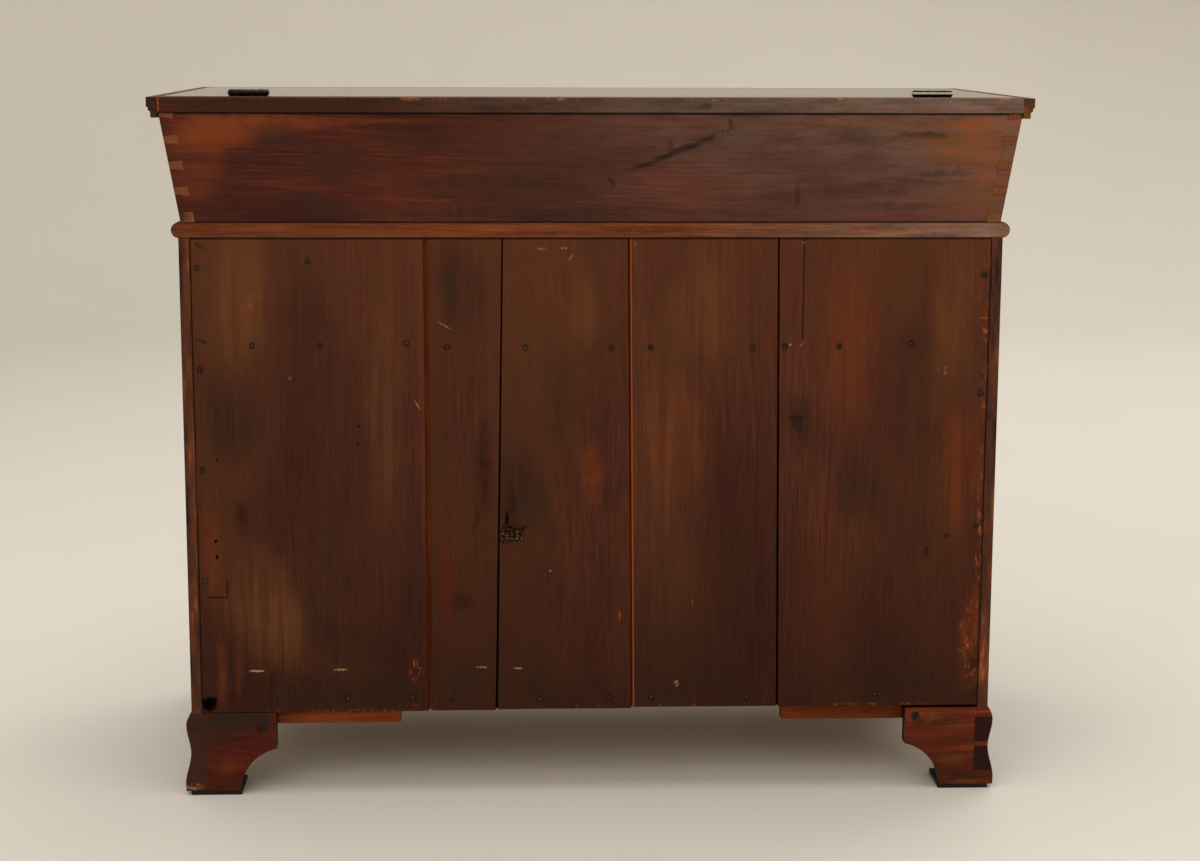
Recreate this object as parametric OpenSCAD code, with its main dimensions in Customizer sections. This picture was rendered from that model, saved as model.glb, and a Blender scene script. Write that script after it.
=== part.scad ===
// Dry sink with a lift lid over a splayed, dovetailed trough, two drawers and
// two panelled doors on ogee bracket feet. Millimetres, +Z up, the front faces -Y.
// The origin is on the floor, under the middle of the lid.

/* [Case] */
// Width of the case over its side panels
case_w = 1051; // [900:1:1300]
// Depth of the case from the face frame to the rear faces of the back boards
case_d = 502; // [430:1:600]
// Height of the case from the feet to the waist board
case_h = 623.6; // [560:0.1:760]
// Thickness of the side panels
side_t = 25; // [22:0.5:30]
// Thickness of the case bottom
bottom_t = 22; // [20:0.5:26]
// Depth of the housing that holds the case bottom in the side panels
housing = 8; // [4:0.5:12]
// Thickness of the shelf
shelf_t = 18; // [14:0.5:24]
// Height of the shelf's top above the feet
shelf_z = 256; // [200:1:320]
// Distance from the face frame's rear face to the shelf's front edge
shelf_setback = 45; // [30:1:150]
// Width and height of the shelf cleats
shelf_cleat = 20; // [14:0.5:28]

/* [Back] */
// Thickness of the back boards
back_t = 16; // [12:0.5:20]
// Width of the side panel's edge that shows beside the back boards
back_lip = 13.5; // [9:0.5:17]
// Width of the half-lap where two back boards meet
lap_w = 9; // [6:0.5:14]
// Gap between a half-lap's tongue and its neighbour's shoulder
lap_clear = 1.5; // [1:0.1:3]
// Gap at the edges of the back boards
back_gap = 0.3; // [0.1:0.1:1]
// Width of the long check in the last back board
check_w = 0.8; // [0.5:0.1:2]
// Depth of that check
check_d = 7; // [3:0.5:10]
// Length of that check, down from the waist board
check_len = 130; // [60:1:220]
// Distance of that check from the middle of the back
check_x = 270; // [255:1:320]
// Depth of the empty nail holes in the first board
old_hole_d = 9; // [4:1:16]
// Depth of the knot hole at the first board's lower corner
knot_hole_d = 13; // [6:1:16]
// Depth of the broken knot at the third board's edge
knot_chip_d = 4; // [2:0.5:6]
// Depth of the pits in the floor of that broken knot
knot_pit_d = 2.5; // [1:0.5:3]
// Radius of a nail's head
nail_head_r = 3.2; // [2.4:0.1:4.5]
// Radius of a nail's shank
nail_r = 1.4; // [1:0.1:2]
// Thickness of a nail's head
nail_head_t = 1.2; // [0.8:0.1:1.5]
// Length of a nail
nail_len = 38; // [28:1:50]
// Distance of the topmost nails below the waist board
top_nails_down = 33; // [26:1:38]
// Distance of the edge nails from the side panel's inner face
edge_nail_in = 2.5; // [2:0.1:4]

/* [Feet] */
// Height of the ogee bracket feet
foot_h = 106; // [90:1:130]
// Length of each bracket along the case
foot_w = 110; // [95:1:140]
// Thickness of a bracket at the line of the case's outer face
foot_t = 16.5; // [14:0.5:20]
// Thickness of the flat brackets at the rear
foot_rear_t = 20; // [16:0.5:24]
// How far the upper swell stands out from the case
foot_swell = 7.5; // [5:0.5:10]
// How far the waist of the foot stands out
foot_ankle = 2; // [1:0.5:4]
// How far the toe stands out
foot_toe = 10; // [7:0.5:14]
// How far the top edge stands out
foot_top = 1.5; // [0.5:0.5:3]
// Depth of the upper swell's crest below the case
foot_swell_down = 16; // [10:1:24]
// Height of the toe's crest above the foot's lower edge
foot_toe_up = 9; // [5:1:16]
// Radius of the round cut in each bracket
foot_cut_r = 61.4; // [50:0.1:70]
// Distance of that cut's centre past the bracket's end
foot_cut_past = 13.2; // [8:0.1:18]
// Distance of that cut's centre below the bracket's foot
foot_cut_below = 2.8; // [0:0.1:8]
// Width of the glue blocks inside the feet
block_w = 40; // [30:1:46]
// Thickness of the bearing pads under the feet
pad_t = 6; // [3:0.5:10]
// Width of the bearing pads
pad_w = 66; // [50:1:75]
// How far the pads reach past the case's outer faces
pad_out = 3; // [0:0.5:8]
// Distance of the rear pads inside the rear face
pad_back = 2; // [0:0.5:6]
// Height of the lowest dovetail pin above the foot's lower edge
foot_pin_low = 19; // [10:1:24]
// Depth of the half tail above the upper pin
foot_pin_high = 13; // [8:1:18]
// Height of the thin tail between the two pins
foot_pin_gap = 6.3; // [4:0.1:10]
// Distance of the cleats' inner ends from the middle of the case
cleat_in = 253; // [200:1:300]
// Height of the cleats behind the rear brackets
cleat_h = 20; // [15:1:26]
// Thickness of those cleats
cleat_t = 25; // [18:1:32]
// Distance of a foot screw from the corner of the case
screw_in = 96; // [80:1:100]
// Distance of a foot screw below the case
screw_down = 11; // [9:0.5:12]
// Radius of a foot screw's head
screw_head_r = 6.2; // [4.5:0.1:7]
// Thickness of that head
screw_head_t = 3; // [2:0.5:4]
// Radius of a foot screw's shank
screw_r = 2.4; // [1.8:0.1:3]
// Length of a foot screw
screw_len = 40; // [30:1:42]

/* [Face frame] */
// Thickness of the face frame
frame_t = 22; // [19:0.5:26]
// Width of the two corner stiles
stile_w = 45; // [38:1:60]
// Width of the centre stile and of the drawer divider
middle_w = 45; // [38:1:60]
// Height of the top rail
top_rail_h = 25; // [20:0.5:35]
// Height of the drawer rail and of the runners
drawer_rail_h = 20; // [19:0.5:26]
// Height of the bottom rail
bottom_rail_h = 38; // [30:0.5:50]
// Thickness of the frame's tenons
tenon_t = 8; // [6:0.5:10]
// Length of the frame's tenons
tenon_len = 28; // [16:1:32]
// Shoulder above and below a tenon
tenon_shoulder = 4; // [2:0.5:8]
// Length of the stub tenons on the posts
stub_len = 9; // [5:0.5:9.4]
// How far the door stop reaches past the centre stile on each side
stop_reach = 9; // [6:0.5:14]
// Thickness of the door stop
stop_t = 12; // [8:0.5:18]

/* [Drawers] */
// Height of the drawer openings
drawer_open_h = 104.6; // [90:0.1:130]
// Room between a closed drawer and the rear rail
drawer_behind = 32; // [22:1:90]
// Thickness of a drawer front
drawer_front_t = 20; // [18:0.5:24]
// Height of the half pins at a drawer's corners, but for the lowest
drawer_pin_end = 8; // [6:0.5:10]
// Wood between the lowest half pin in a drawer front and the groove
pin_to_groove = 2; // [1:0.5:4]
// Mean height of the whole pins at a drawer's corners
drawer_pin = 12; // [9:0.5:16]
// Thickness of a drawer's sides and back
drawer_side_t = 12; // [10:0.5:16]
// Thickness of a drawer's bottom
drawer_bottom_t = 8; // [6:0.5:10]
// Height of the groove for that bottom above the sides' lower edge
groove_up = 8; // [6:0.5:12]
// Depth of the groove for that bottom
groove_d = 5; // [3:0.5:6]
// Wood left in front of the dovetails in a drawer front
front_lap = 6; // [4:0.5:8]
// How much lower the sides are than the front
side_drop = 5; // [2:0.5:10]
// Width of a drawer runner
runner_w = 50; // [40:1:60]
// Height of the guides on the runners
guide_h = 22; // [15:1:30]
// Thickness of the blocks that stop a closed drawer
drawer_stop_t = 14; // [8:1:20]
// Depth and height of the nailing rail behind the drawers
rear_rail_d = 24; // [18:1:32]

/* [Doors] */
// Width of the door stiles and rails
door_frame_w = 56; // [48:1:66]
// Width of the groove that holds the door panel
panel_groove = 6; // [5:0.5:8]
// Depth of that groove
panel_groove_d = 9; // [7:0.5:12]
// Length of the door rails' tenons
door_tenon = 34; // [24:1:40]
// Width of the sloping border around the raised field
bevel_w = 34; // [26:1:44]
// Step at the edge of the raised field
field_step = 1.5; // [0.5:0.5:2.5]
// Distance of the raised field behind the door's face
field_back = 2; // [1:0.5:3]
// Radius of a knob's head
knob_r = 16; // [12:0.5:20]
// How far a knob stands out
knob_out = 26; // [22:0.5:30]
// Radius of a knob's foot, against the wood
knob_foot_r = 9.6; // [7.5:0.1:11]
// Thickness of that foot
knob_foot_t = 3; // [2:0.5:4]
// Radius of a knob's neck
knob_neck_r = 6.4; // [5:0.1:7.4]
// Height of a knob's head
knob_head = 12.5; // [10:0.5:15]
// Radius of a knob's round tenon
knob_tenon_r = 6; // [4:0.5:8]
// Length of a knob's round tenon
knob_tenon = 15; // [10:0.5:18]
// Height of the door knobs above the middle of the doors
door_knob_up = 60; // [0:1:120]

/* [Waist and trough] */
// Thickness of the waist board
waist_t = 20; // [16:0.5:24]
// Overhang of the waist board past the case
waist_over = 9; // [6:0.5:12]
// Thickness of the trough boards
trough_t = 18; // [15:0.5:22]
// Height of the trough boards above the waist board
trough_h = 137.6; // [110:0.1:180]
// Outward slope of the trough's front and sides, in degrees
splay = 10; // [5:0.5:14]
// Distance of the trough's foot inside the case's faces
trough_inset = 3.5; // [1:0.5:8]
// Number of whole pins at each corner of the trough
pin_count = 3; // [2:1:4]
// Mean height of a pin
pin_h = 13; // [9:0.5:16]
// Height of the lowest half pin
pin_low = 14; // [8:0.5:18]
// Height of the highest half pin
pin_high = 8; // [6:0.5:14]
// Rise of a dovetail's edge per millimetre of its length
dovetail_slope = 0.12; // [0.08:0.01:0.17]

/* [Lid] */
// Thickness of the lid board
lid_t = 19; // [16:0.5:24]
// Width of the fixed rail behind the lid
rail_w = 50; // [42:1:70]
// Overhang of that rail at the rear
rail_over = 3; // [0:0.5:8]
// Depth of the chips along that rail's rear arris
rail_chip_d = 1.4; // [0.5:0.1:2.5]
// Thickness of the mouldings on the lid's edges
moulding_t = 14; // [11:0.5:18]
// Height of the mouldings
moulding_h = 25.5; // [23:0.5:32]
// Height of the flat upper band of the mouldings
band_h = 12; // [9:0.5:14]
// Height of the lowest bead of the mouldings
bead_h = 6; // [4:0.5:8]
// Radius of the upper cove of the mouldings
cove_r = 2.4; // [1.5:0.1:3]
// Radius of the lower cove of the mouldings
lower_cove_r = 2.8; // [1.5:0.1:3.5]
// Width of the battens under the lid
batten_w = 45; // [35:1:60]
// Thickness of those battens
batten_t = 18; // [12:0.5:22]
// Distance of the battens from the middle of the lid
batten_x = 360; // [250:1:420]
// Length of the battens
batten_len = 360; // [280:1:370]
// Distance of the battens' middle in front of the trough's middle
batten_front = 15; // [0:1:20]

/* [Hinges] */
// Length of the lid hinges
lid_hinge_len = 50; // [40:1:70]
// Distance of the lid hinges from the middle
lid_hinge_x = 438; // [300:1:480]
// Radius of the lid hinges' knuckles
lid_knuckle_r = 4.2; // [3.4:0.1:5]
// Height of the lid hinges' leaves
lid_leaf_h = 14; // [10:0.5:16]
// Depth of the shallow gain under a lid hinge's knuckles
lid_gain = 1; // [0.5:0.1:2]
// Length of the door hinges
door_hinge_len = 62; // [50:1:75]
// Distance of a door hinge's middle from the end of the door
door_hinge_end = 75; // [60:1:110]
// Radius of the door hinges' knuckles
door_knuckle_r = 3.4; // [3:0.1:4.5]
// Width of the door hinges' leaves
door_leaf_w = 17; // [14:0.5:19]
// Thickness of the hinge leaves
leaf_t = 1.5; // [1.2:0.1:2]
// Radius of the hinge pins
hinge_pin_r = 1.6; // [1.3:0.1:1.9]
// Radius of the pins' heads
hinge_head_r = 2.6; // [2.2:0.1:3]
// Thickness of the pins' heads
hinge_head_t = 1.2; // [0.8:0.1:2]

/* [Clearances] */
// Seam between the lid and its fixed rail, and around the doors and drawer fronts
seam = 1.5; // [1.5:0.1:2.5]
// Gap over a closed drawer's front
drawer_top_gap = 2.5; // [1.5:0.1:4]
// Gap between pieces that move past each other
slide_gap = 0.3; // [0.2:0.05:0.6]
// Gap between the trough and the lid's mouldings
lid_clear = 0.5; // [0.3:0.1:1.5]
// Radial clearance of the hinge pins
pin_clear = 0.05; // [0.02:0.01:0.1]
// Gap between a panel's edge and the bottom of its groove
panel_float = 1.5; // [1:0.5:3]
// Glue line between two pieces of one foot, drawer or door frame
glue = 0.05; // [0.02:0.01:0.1]

/* [Hidden] */
$fn = 48;

// How far a cutter reaches past the wood it cuts
past = 1;

// Colours
old_brown = [0.27, 0.13, 0.09];
warm_brown = [0.36, 0.17, 0.10];
red_brown = [0.42, 0.19, 0.11];
raw_wood = [0.66, 0.36, 0.17];
inner_wood = [0.55, 0.38, 0.24];
dark_pad = [0.10, 0.08, 0.07];
dark_brass = [0.24, 0.19, 0.14];
dark_iron = [0.15, 0.13, 0.12];

// Levels
z_foot = pad_t;
z_case = z_foot + foot_h;
z_waist = z_case + case_h;
z_well = z_waist + waist_t;
z_rim = z_well + trough_h;
z_lid = z_rim + slide_gap;
z_top = z_lid + lid_t;
z_opening = z_waist - top_rail_h;
z_runner = z_opening - drawer_open_h;
z_door_top = z_runner - drawer_rail_h;
z_door_foot = z_case + bottom_rail_h;
z_shelf = z_case + shelf_z;

// Planes, from the middle outwards and from front to rear
half_w = case_w / 2;
in_w = half_w - side_t;
slope = tan(splay);
trough_run = trough_h * slope;
trough_th = trough_t / cos(splay);
trough_x = half_w - trough_inset;
rim_x = trough_x + trough_run;
lid_x = round(100 * (rim_x + lid_clear)) / 100;
overall_d = case_d - trough_inset + trough_run + lid_clear + moulding_t + rail_over;
y_rear = overall_d / 2 - rail_over;
y_front = y_rear - case_d;
y_frame = y_front + frame_t;
y_back = y_rear - back_t;
trough_y = y_front + trough_inset;
rim_y = trough_y - trough_run;
lid_y = rim_y - lid_clear;
y_rail = y_rear + rail_over - rail_w;
y_seam = y_rail - seam / 2;

// Doors and drawers
opening_w = half_w - stile_w - middle_w / 2;
opening_x = middle_w / 2 + opening_w / 2;
drawer_w = opening_w - 2 * seam;
z_drawer = z_runner + slide_gap;
drawer_h = drawer_open_h - slide_gap - drawer_top_gap;
box_h = drawer_h - side_drop;
box_z = z_drawer + groove_up + drawer_bottom_t;
y_drawer_end = y_back - rear_rail_d - drawer_behind;
drawer_len = y_drawer_end - y_front;
door_w = opening_w - 2 * seam;
door_z = z_door_foot + seam;
door_h = z_door_top - z_door_foot - 2 * seam;
door_t = frame_t - slide_gap;
door_mid = door_z + door_h / 2;
y_groove = y_front + (door_t - panel_groove) / 2;

// Moulding and hinge places
band_in = moulding_t - cove_r;
bead_in = band_in - lower_cove_r;
lid_pin_z = z_top + lid_knuckle_r + slide_gap;
door_pin_y = y_front - door_knuckle_r - slide_gap;
door_pin_x = half_w - stile_w - seam / 2;
hinge_levels = [door_z + door_hinge_end, door_z + door_h - door_hinge_end];

// The seams and nails of the back were laid out on a case of this width, and spread
// with the case
drawn_w = 1051;
spread = case_w / drawn_w;

// Seams between the back boards, from the board at +X on: where the next board's
// face starts at the top and at the bottom, and how wide the open seam is there
seams = [[211.4, 210.2, 5.2, 5], [114.9, 124.1, 1.8, 3], [-46.9, -53.7, 2.6, 2.4], [-238.5, -246, 2.2, 2.8]];
last_board = 4;
// Height of each board's foot above the case's lower edge
board_foot = [1, 1.5, 2.5, 4, 3.5];

// Nails in the back: rows of [x, rise or fall from the row's level]
nail_rows = [
  [z_waist - top_nails_down, [[363, 3]]],
  [z_runner - drawer_rail_h / 2, [[436, 2], [349, 1], [239, 5], [187, 0], [87, -1], [-24, -1], [-74, -1],
    [-205, -1], [-247, 0], [-318, 0], [-411, 3]]],
  [z_case + bottom_t * 0.77, [[417, -2], [321, 2], [236, 3], [185, 1], [69, -1], [-23, 1], [-78, 1],
    [-204, 0], [-374, 2]]]
];
// Nails along the edges at +X and -X, as shares of the case's height
edge_nails = [[0.285, 0.52, 0.73, 0.94], [0.396, 0.677, 0.924]];

// Holes in the first board, as x, height above the case's lower edge and radius:
// nails that are gone, and a knot that fell out in three lobes
old_holes = [[488, 231, 1.9], [487, 210, 1.9], [301, 381, 1.1], [303, 359, 1.1]];
knot_hole = [[501, 11.5, 7.2], [507.5, 15, 3.6], [495.5, 18.5, 2.2]];
// Outline of the broken knot in the third board, in the same x and height
knot_chip = [[124, 248], [117, 249], [114, 252], [112, 266], [110, 266], [109, 252], [104, 247],
  [88, 246], [92, 239], [103, 230], [112, 226], [124, 226]];
// Pits in that knot, as x, height and radius
knot_pits = [[110, 241, 2.4], [101, 238, 2], [115.5, 234, 2.2], [105, 245, 1.7], [95, 242, 1.5]];
// Chips in the rear arris of the lid's rail, as x of both ends
rail_chips = [[217, 243], [34, 46], [-530, -514]];

// A shape drawn in the plane of X and Z, run from y0 to y1
module along_y(y0, y1) {
  translate([0, y1, 0]) rotate([90, 0, 0]) linear_extrude(y1 - y0) children();
}

// A shape drawn in the plane of Y and Z, run from x0 to x1
module along_x(x0, x1) {
  translate([x0, 0, 0]) rotate([90, 0, 90]) linear_extrude(x1 - x0) children();
}

// A box between two corners
module box(low, high) {
  translate(low) cube(high - low);
}

// The same piece on the right, or mirrored to the left
module side(s) {
  mirror([s < 0 ? 1 : 0, 0, 0]) children();
}

module both_sides() {
  for (s = [-1, 1]) side(s) children();
}

// Dovetails. A tail starts at u = 0, grows by the dovetail's slope, and leans
// with the board it is cut in
function tail(v0, v1, u0, u1, lean = 0) = [
  for (p = [[u0, v0 - dovetail_slope * u0], [u1, v0 - dovetail_slope * u1],
            [u1, v1 + dovetail_slope * u1], [u0, v1 + dovetail_slope * u0]])
    [p[0] + lean * p[1], p[1]]
];

// Lower and upper edge of each tail in a row with a half pin at either end
function tail_rows(h, low, high, pins, pin) =
  let (t = (h - low - high - pins * pin) / (pins + 1))
  [for (k = [0 : pins]) [low + k * (t + pin), low + k * (t + pin) + t]];

// Case

module side_panel() {
  difference() {
    box([in_w, y_frame, z_case], [half_w, y_rear, z_waist]);
    box([in_w - past, y_back, z_case - past], [half_w - back_lip, y_rear + past, z_waist + past]);
    box([in_w - past, y_frame - past, z_case - past], [in_w + housing, y_rear + past, z_case + bottom_t]);
  }
}

module side_panel_left() {
  color(warm_brown) difference() {
    side(-1) side_panel();
    nails(-half_w, -in_w, z_case + bottom_t, z_waist);
  }
}

module side_panel_right() {
  color(warm_brown) difference() {
    side_panel();
    nails(in_w, half_w, z_case + bottom_t, z_waist);
  }
}

module case_bottom() {
  color(inner_wood) difference() {
    box([-in_w - housing, y_frame, z_case], [in_w + housing, y_back, z_case + bottom_t]);
    nails(-in_w, in_w, z_case, z_case + bottom_t);
  }
}

module shelf() {
  color(inner_wood) box([-in_w, y_frame + shelf_setback, z_shelf - shelf_t], [in_w, y_back, z_shelf]);
}

module shelf_cleats() {
  color(inner_wood) both_sides()
    box([in_w - shelf_cleat, y_frame + shelf_setback, z_shelf - shelf_t - shelf_cleat],
        [in_w, y_back, z_shelf - shelf_t]);
}

// Back

// Face edge of board k on its left, and of the board after it, at the top and the foot
function seam_x(k, at) = seams[k][at] * spread;
function board_right(k, at) = k == 0 ? half_w - back_lip - back_gap : seam_x(k - 1, at);
function board_left(k, at) =
  k == last_board ? -half_w + back_lip + back_gap : seam_x(k, at) + seams[k][at + 2];

// Outline of board k, cut back on its right and reaching out on its left
module board_shape(k, right_in, left_out) {
  foot = z_case + board_foot[k];
  polygon([
    [board_left(k, 1) - left_out, foot], [board_right(k, 1) - right_in, foot],
    [board_right(k, 0) - right_in, z_waist], [board_left(k, 0) - left_out, z_waist]
  ]);
}

// The rear half of a board is its face. The front half is cut back on one edge
// and stands out on the other, so that neighbours lap
module back_board(k) {
  lap_cut = k == 0 ? 0 : lap_w;
  lap_out = k == last_board ? 0 : seams[k][2] + lap_w - lap_clear;
  difference() {
    union() {
      along_y(y_back + back_t / 2, y_rear) board_shape(k, 0, 0);
      along_y(y_back, y_back + back_t / 2) board_shape(k, lap_cut, lap_out);
    }
    nails(-half_w, half_w, z_case, z_waist);
  }
}

// Round holes of one depth in the back
module back_holes(spots, depth) {
  for (h = spots) translate([h[0] * spread, y_rear + past, z_case + h[1]])
    rotate([90, 0, 0]) cylinder(h = depth + past, r = h[2]);
}

module back_board_1() {
  color(old_brown) difference() {
    back_board(0);
    back_holes(old_holes, old_hole_d);
    back_holes(knot_hole, knot_hole_d);
  }
}

module back_board_2() {
  color(old_brown) back_board(1);
}

module back_board_3() {
  color(old_brown) difference() {
    back_board(2);
    along_y(y_rear - knot_chip_d, y_rear + past)
      polygon([for (p = knot_chip) [p[0] * spread, z_case + p[1]]]);
    back_holes(knot_pits, knot_chip_d + knot_pit_d);
  }
}

module back_board_4() {
  color(old_brown) back_board(3);
}

module back_board_5() {
  color(old_brown) difference() {
    back_board(last_board);
    box([-check_x - check_w / 2, y_rear - check_d, z_waist - check_len],
        [-check_x + check_w / 2, y_rear + past, z_waist + past]);
  }
}

module nail_at(x, z) {
  translate([x, y_rear, z]) rotate([90, 0, 0]) {
    cylinder(h = nail_len, r = nail_r, $fn = 16);
    cylinder(h = nail_head_t, r = nail_head_r, $fn = 20);
  }
}

// The nails whose shanks lie between the given lines
module nails(x0, x1, z0, z1) {
  spots = concat([for (row = nail_rows) for (n = row[1]) [n[0] * spread, row[0] + n[1]]],
                 [for (k = [0, 1]) for (share = edge_nails[k])
                    [(1 - 2 * k) * (in_w + edge_nail_in), z_case + share * case_h]]);
  for (p = spots) if (p[0] > x0 && p[0] < x1 && p[1] > z0 && p[1] < z1) nail_at(p[0], p[1]);
}

module back_nails() {
  color(dark_iron) nails(-half_w, half_w, z_case, z_waist);
}

// Face frame

// A rail between the corner stiles, with a tenon at each end
module rail_bar(z0, z1) {
  x = half_w - stile_w;
  mid = y_front + frame_t / 2;
  box([-x, y_front, z0], [x, y_frame, z1]);
  box([-x - tenon_len, mid - tenon_t / 2, z0 + tenon_shoulder],
      [x + tenon_len, mid + tenon_t / 2, z1 - tenon_shoulder]);
}

// A post in the middle, with a stub tenon at each end
module middle_post(z0, z1) {
  mid = y_front + frame_t / 2;
  box([-middle_w / 2, y_front, z0], [middle_w / 2, y_frame, z1]);
  box([-middle_w / 2 + tenon_shoulder, mid - tenon_t / 2, z0 - stub_len],
      [middle_w / 2 - tenon_shoulder, mid + tenon_t / 2, z1 + stub_len]);
}

module top_rail_bar() {
  rail_bar(z_opening, z_waist);
}

module drawer_rail_bar() {
  rail_bar(z_door_top, z_runner);
}

module bottom_rail_bar() {
  rail_bar(z_case, z_door_foot);
}

module front_stiles() {
  color(warm_brown) both_sides() difference() {
    box([half_w - stile_w, y_front, z_case], [half_w, y_frame, z_waist]);
    top_rail_bar();
    drawer_rail_bar();
    bottom_rail_bar();
    door_leaves(true);
  }
}

module top_rail() {
  color(warm_brown) difference() {
    top_rail_bar();
    middle_post(z_runner, z_opening);
  }
}

module drawer_rail() {
  color(warm_brown) difference() {
    drawer_rail_bar();
    middle_post(z_runner, z_opening);
    middle_post(z_door_foot, z_door_top);
  }
}

module bottom_rail() {
  color(warm_brown) difference() {
    bottom_rail_bar();
    middle_post(z_door_foot, z_door_top);
  }
}

module drawer_divider() {
  color(warm_brown) middle_post(z_runner, z_opening);
}

module centre_stile() {
  color(warm_brown) middle_post(z_door_foot, z_door_top);
}

module door_stop() {
  color(inner_wood) box([-middle_w / 2 - stop_reach, y_frame, z_case + bottom_t],
                        [middle_w / 2 + stop_reach, y_frame + stop_t, z_door_top]);
}

// Behind the drawers

module rear_rail() {
  color(inner_wood) difference() {
    box([-in_w, y_back - rear_rail_d, z_door_top], [in_w, y_back, z_runner]);
    nails(-in_w, in_w, z_door_top, z_runner);
  }
}

module rear_top_cleat() {
  color(inner_wood) difference() {
    box([-in_w, y_back - rear_rail_d, z_opening - drawer_rail_h], [in_w, y_back, z_waist]);
    nails(-in_w, in_w, z_opening - drawer_rail_h, z_waist);
  }
}

module drawer_runners() {
  color(inner_wood) {
    both_sides() box([in_w - runner_w, y_frame, z_door_top], [in_w, y_back - rear_rail_d, z_runner]);
    box([-middle_w / 2 - runner_w / 2, y_frame, z_door_top],
        [middle_w / 2 + runner_w / 2, y_back - rear_rail_d, z_runner]);
  }
}

// Guides beside the drawers, and the blocks that a closed drawer meets
module drawer_guides() {
  guide_in = half_w - stile_w;
  stop_y = y_drawer_end + slide_gap;
  stop_w = drawer_side_t + seam;
  color(inner_wood) {
    both_sides() {
      box([guide_in, y_frame, z_runner], [in_w, y_back - rear_rail_d, z_runner + guide_h]);
      for (x = [guide_in - stop_w, middle_w / 2 + glue])
        box([x, stop_y, z_runner], [x + stop_w - glue, stop_y + drawer_stop_t, z_runner + guide_h]);
    }
    box([-middle_w / 2, y_frame, z_runner], [middle_w / 2, y_back - rear_rail_d, z_runner + guide_h]);
  }
}

// Feet. Each is drawn at the corner of the case, with +X and +Y outwards, and its
// lower edge at z = 0

// How far the ogee stands out at height z: swell, ankle and toe joined by half waves
function wave(a, b, t) = a + (b - a) * (1 - cos(180 * t)) / 2;
foot_levels = [foot_h, foot_h - foot_swell_down, foot_h / 2, foot_toe_up, 0];
foot_outs = [foot_top, foot_swell, foot_ankle, foot_toe, foot_toe * 0.95];
foot_steps = [4, 7, 8, 2];
ogee = [
  for (k = [0 : 3]) for (i = [0 : foot_steps[k] - 1])
    let (t = i / foot_steps[k])
    [k == 0 ? foot_top + (foot_swell - foot_top) * sin(90 * t) : wave(foot_outs[k], foot_outs[k + 1], t),
     foot_levels[k] + (foot_levels[k + 1] - foot_levels[k]) * t],
  [foot_outs[4], 0]
];

module corner(sx, sy) {
  translate([sx * half_w, sy > 0 ? y_rear : y_front, z_foot])
    mirror([sx < 0 ? 1 : 0, 0, 0]) mirror([0, sy < 0 ? 1 : 0, 0]) children();
}

module foot_cut(x0, x1) {
  translate([x0, -foot_w - foot_cut_past, -foot_cut_below]) rotate([0, 90, 0])
    cylinder(h = x1 - x0, r = foot_cut_r, $fn = 96);
}

// The bracket along the case's side, up to the line v
module ogee_bracket(v) {
  difference() {
    along_y(-foot_w, v) polygon(concat(ogee, [[-foot_t, 0], [-foot_t, foot_h]]));
    foot_cut(-foot_t - past, foot_toe + past);
  }
}

module mitred_bracket() {
  low = -foot_t - 2 * past;
  high = foot_toe + 2 * past;
  difference() {
    ogee_bracket(foot_toe + past);
    translate([glue, 0, -past]) linear_extrude(foot_h + 2 * past)
      polygon([[low, low], [high, high], [low, high]]);
  }
}

// Pins at the rear end of the side bracket
foot_pins = let (h = (foot_h - foot_pin_low - foot_pin_high - foot_pin_gap) / 2)
  [[foot_pin_low, foot_pin_low + h], [foot_pin_low + h + foot_pin_gap, foot_h - foot_pin_high]];

module pinned_bracket() {
  ogee_bracket(-foot_rear_t - glue);
  for (p = foot_pins) intersection() {
    ogee_bracket(0);
    box([-foot_t - past, -foot_rear_t - past, p[0]], [foot_toe + past, past, p[1]]);
  }
}

module pin_sockets() {
  for (p = foot_pins)
    box([-foot_t - glue, -foot_rear_t - past, p[0] - glue], [foot_toe + past, past, p[1] + glue]);
}

// The flat bracket at the rear, from its free end to the line u
module flat_bracket(u) {
  difference() {
    box([-foot_w, -foot_rear_t, 0], [u, 0, foot_h]);
    mirror([1, -1, 0]) foot_cut(-foot_rear_t - past, past);
  }
}

module rear_foot_plain() {
  ogee_bracket(0);
  difference() {
    flat_bracket(-foot_t - glue);
    screw_at_foot();
  }
}

module rear_foot_dovetailed() {
  pinned_bracket();
  difference() {
    union() {
      flat_bracket(-foot_t);
      intersection() {
        ogee_bracket(0);
        box([-foot_t - past, -foot_rear_t, -past], [foot_toe + past, past, foot_h + past]);
      }
    }
    pin_sockets();
    screw_at_foot();
  }
}

module front_foot() {
  mitred_bracket();
  mirror([1, -1, 0]) mitred_bracket();
}

module foot_rear_left() {
  color(red_brown) corner(-1, 1) rear_foot_dovetailed();
}

module foot_rear_right() {
  color(warm_brown) corner(1, 1) rear_foot_plain();
}

module foot_front_left() {
  color(warm_brown) corner(-1, -1) front_foot();
}

module foot_front_right() {
  color(warm_brown) corner(1, -1) front_foot();
}

module corner_blocks() {
  color(inner_wood) for (sx = [-1, 1]) for (sy = [-1, 1]) {
    bracket_t = sy > 0 ? foot_rear_t : foot_t;
    corner(sx, sy) box([-foot_t - block_w, -bracket_t - block_w, 0], [-foot_t, -bracket_t, foot_h]);
  }
}

module foot_pads() {
  color(dark_pad) for (sx = [-1, 1]) for (sy = [-1, 1]) {
    y = sy > 0 ? -pad_back : pad_out;
    corner(sx, sy) box([pad_out - pad_w, y - pad_w, -pad_t], [pad_out, y, 0]);
  }
}

module foot_cleats() {
  color(raw_wood) difference() {
    for (sx = [-1, 1]) corner(sx, 1)
      box([cleat_in - half_w, -foot_rear_t - cleat_t, foot_h - cleat_h],
          [-foot_t - block_w, -foot_rear_t, foot_h]);
    foot_screws();
  }
}

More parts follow.
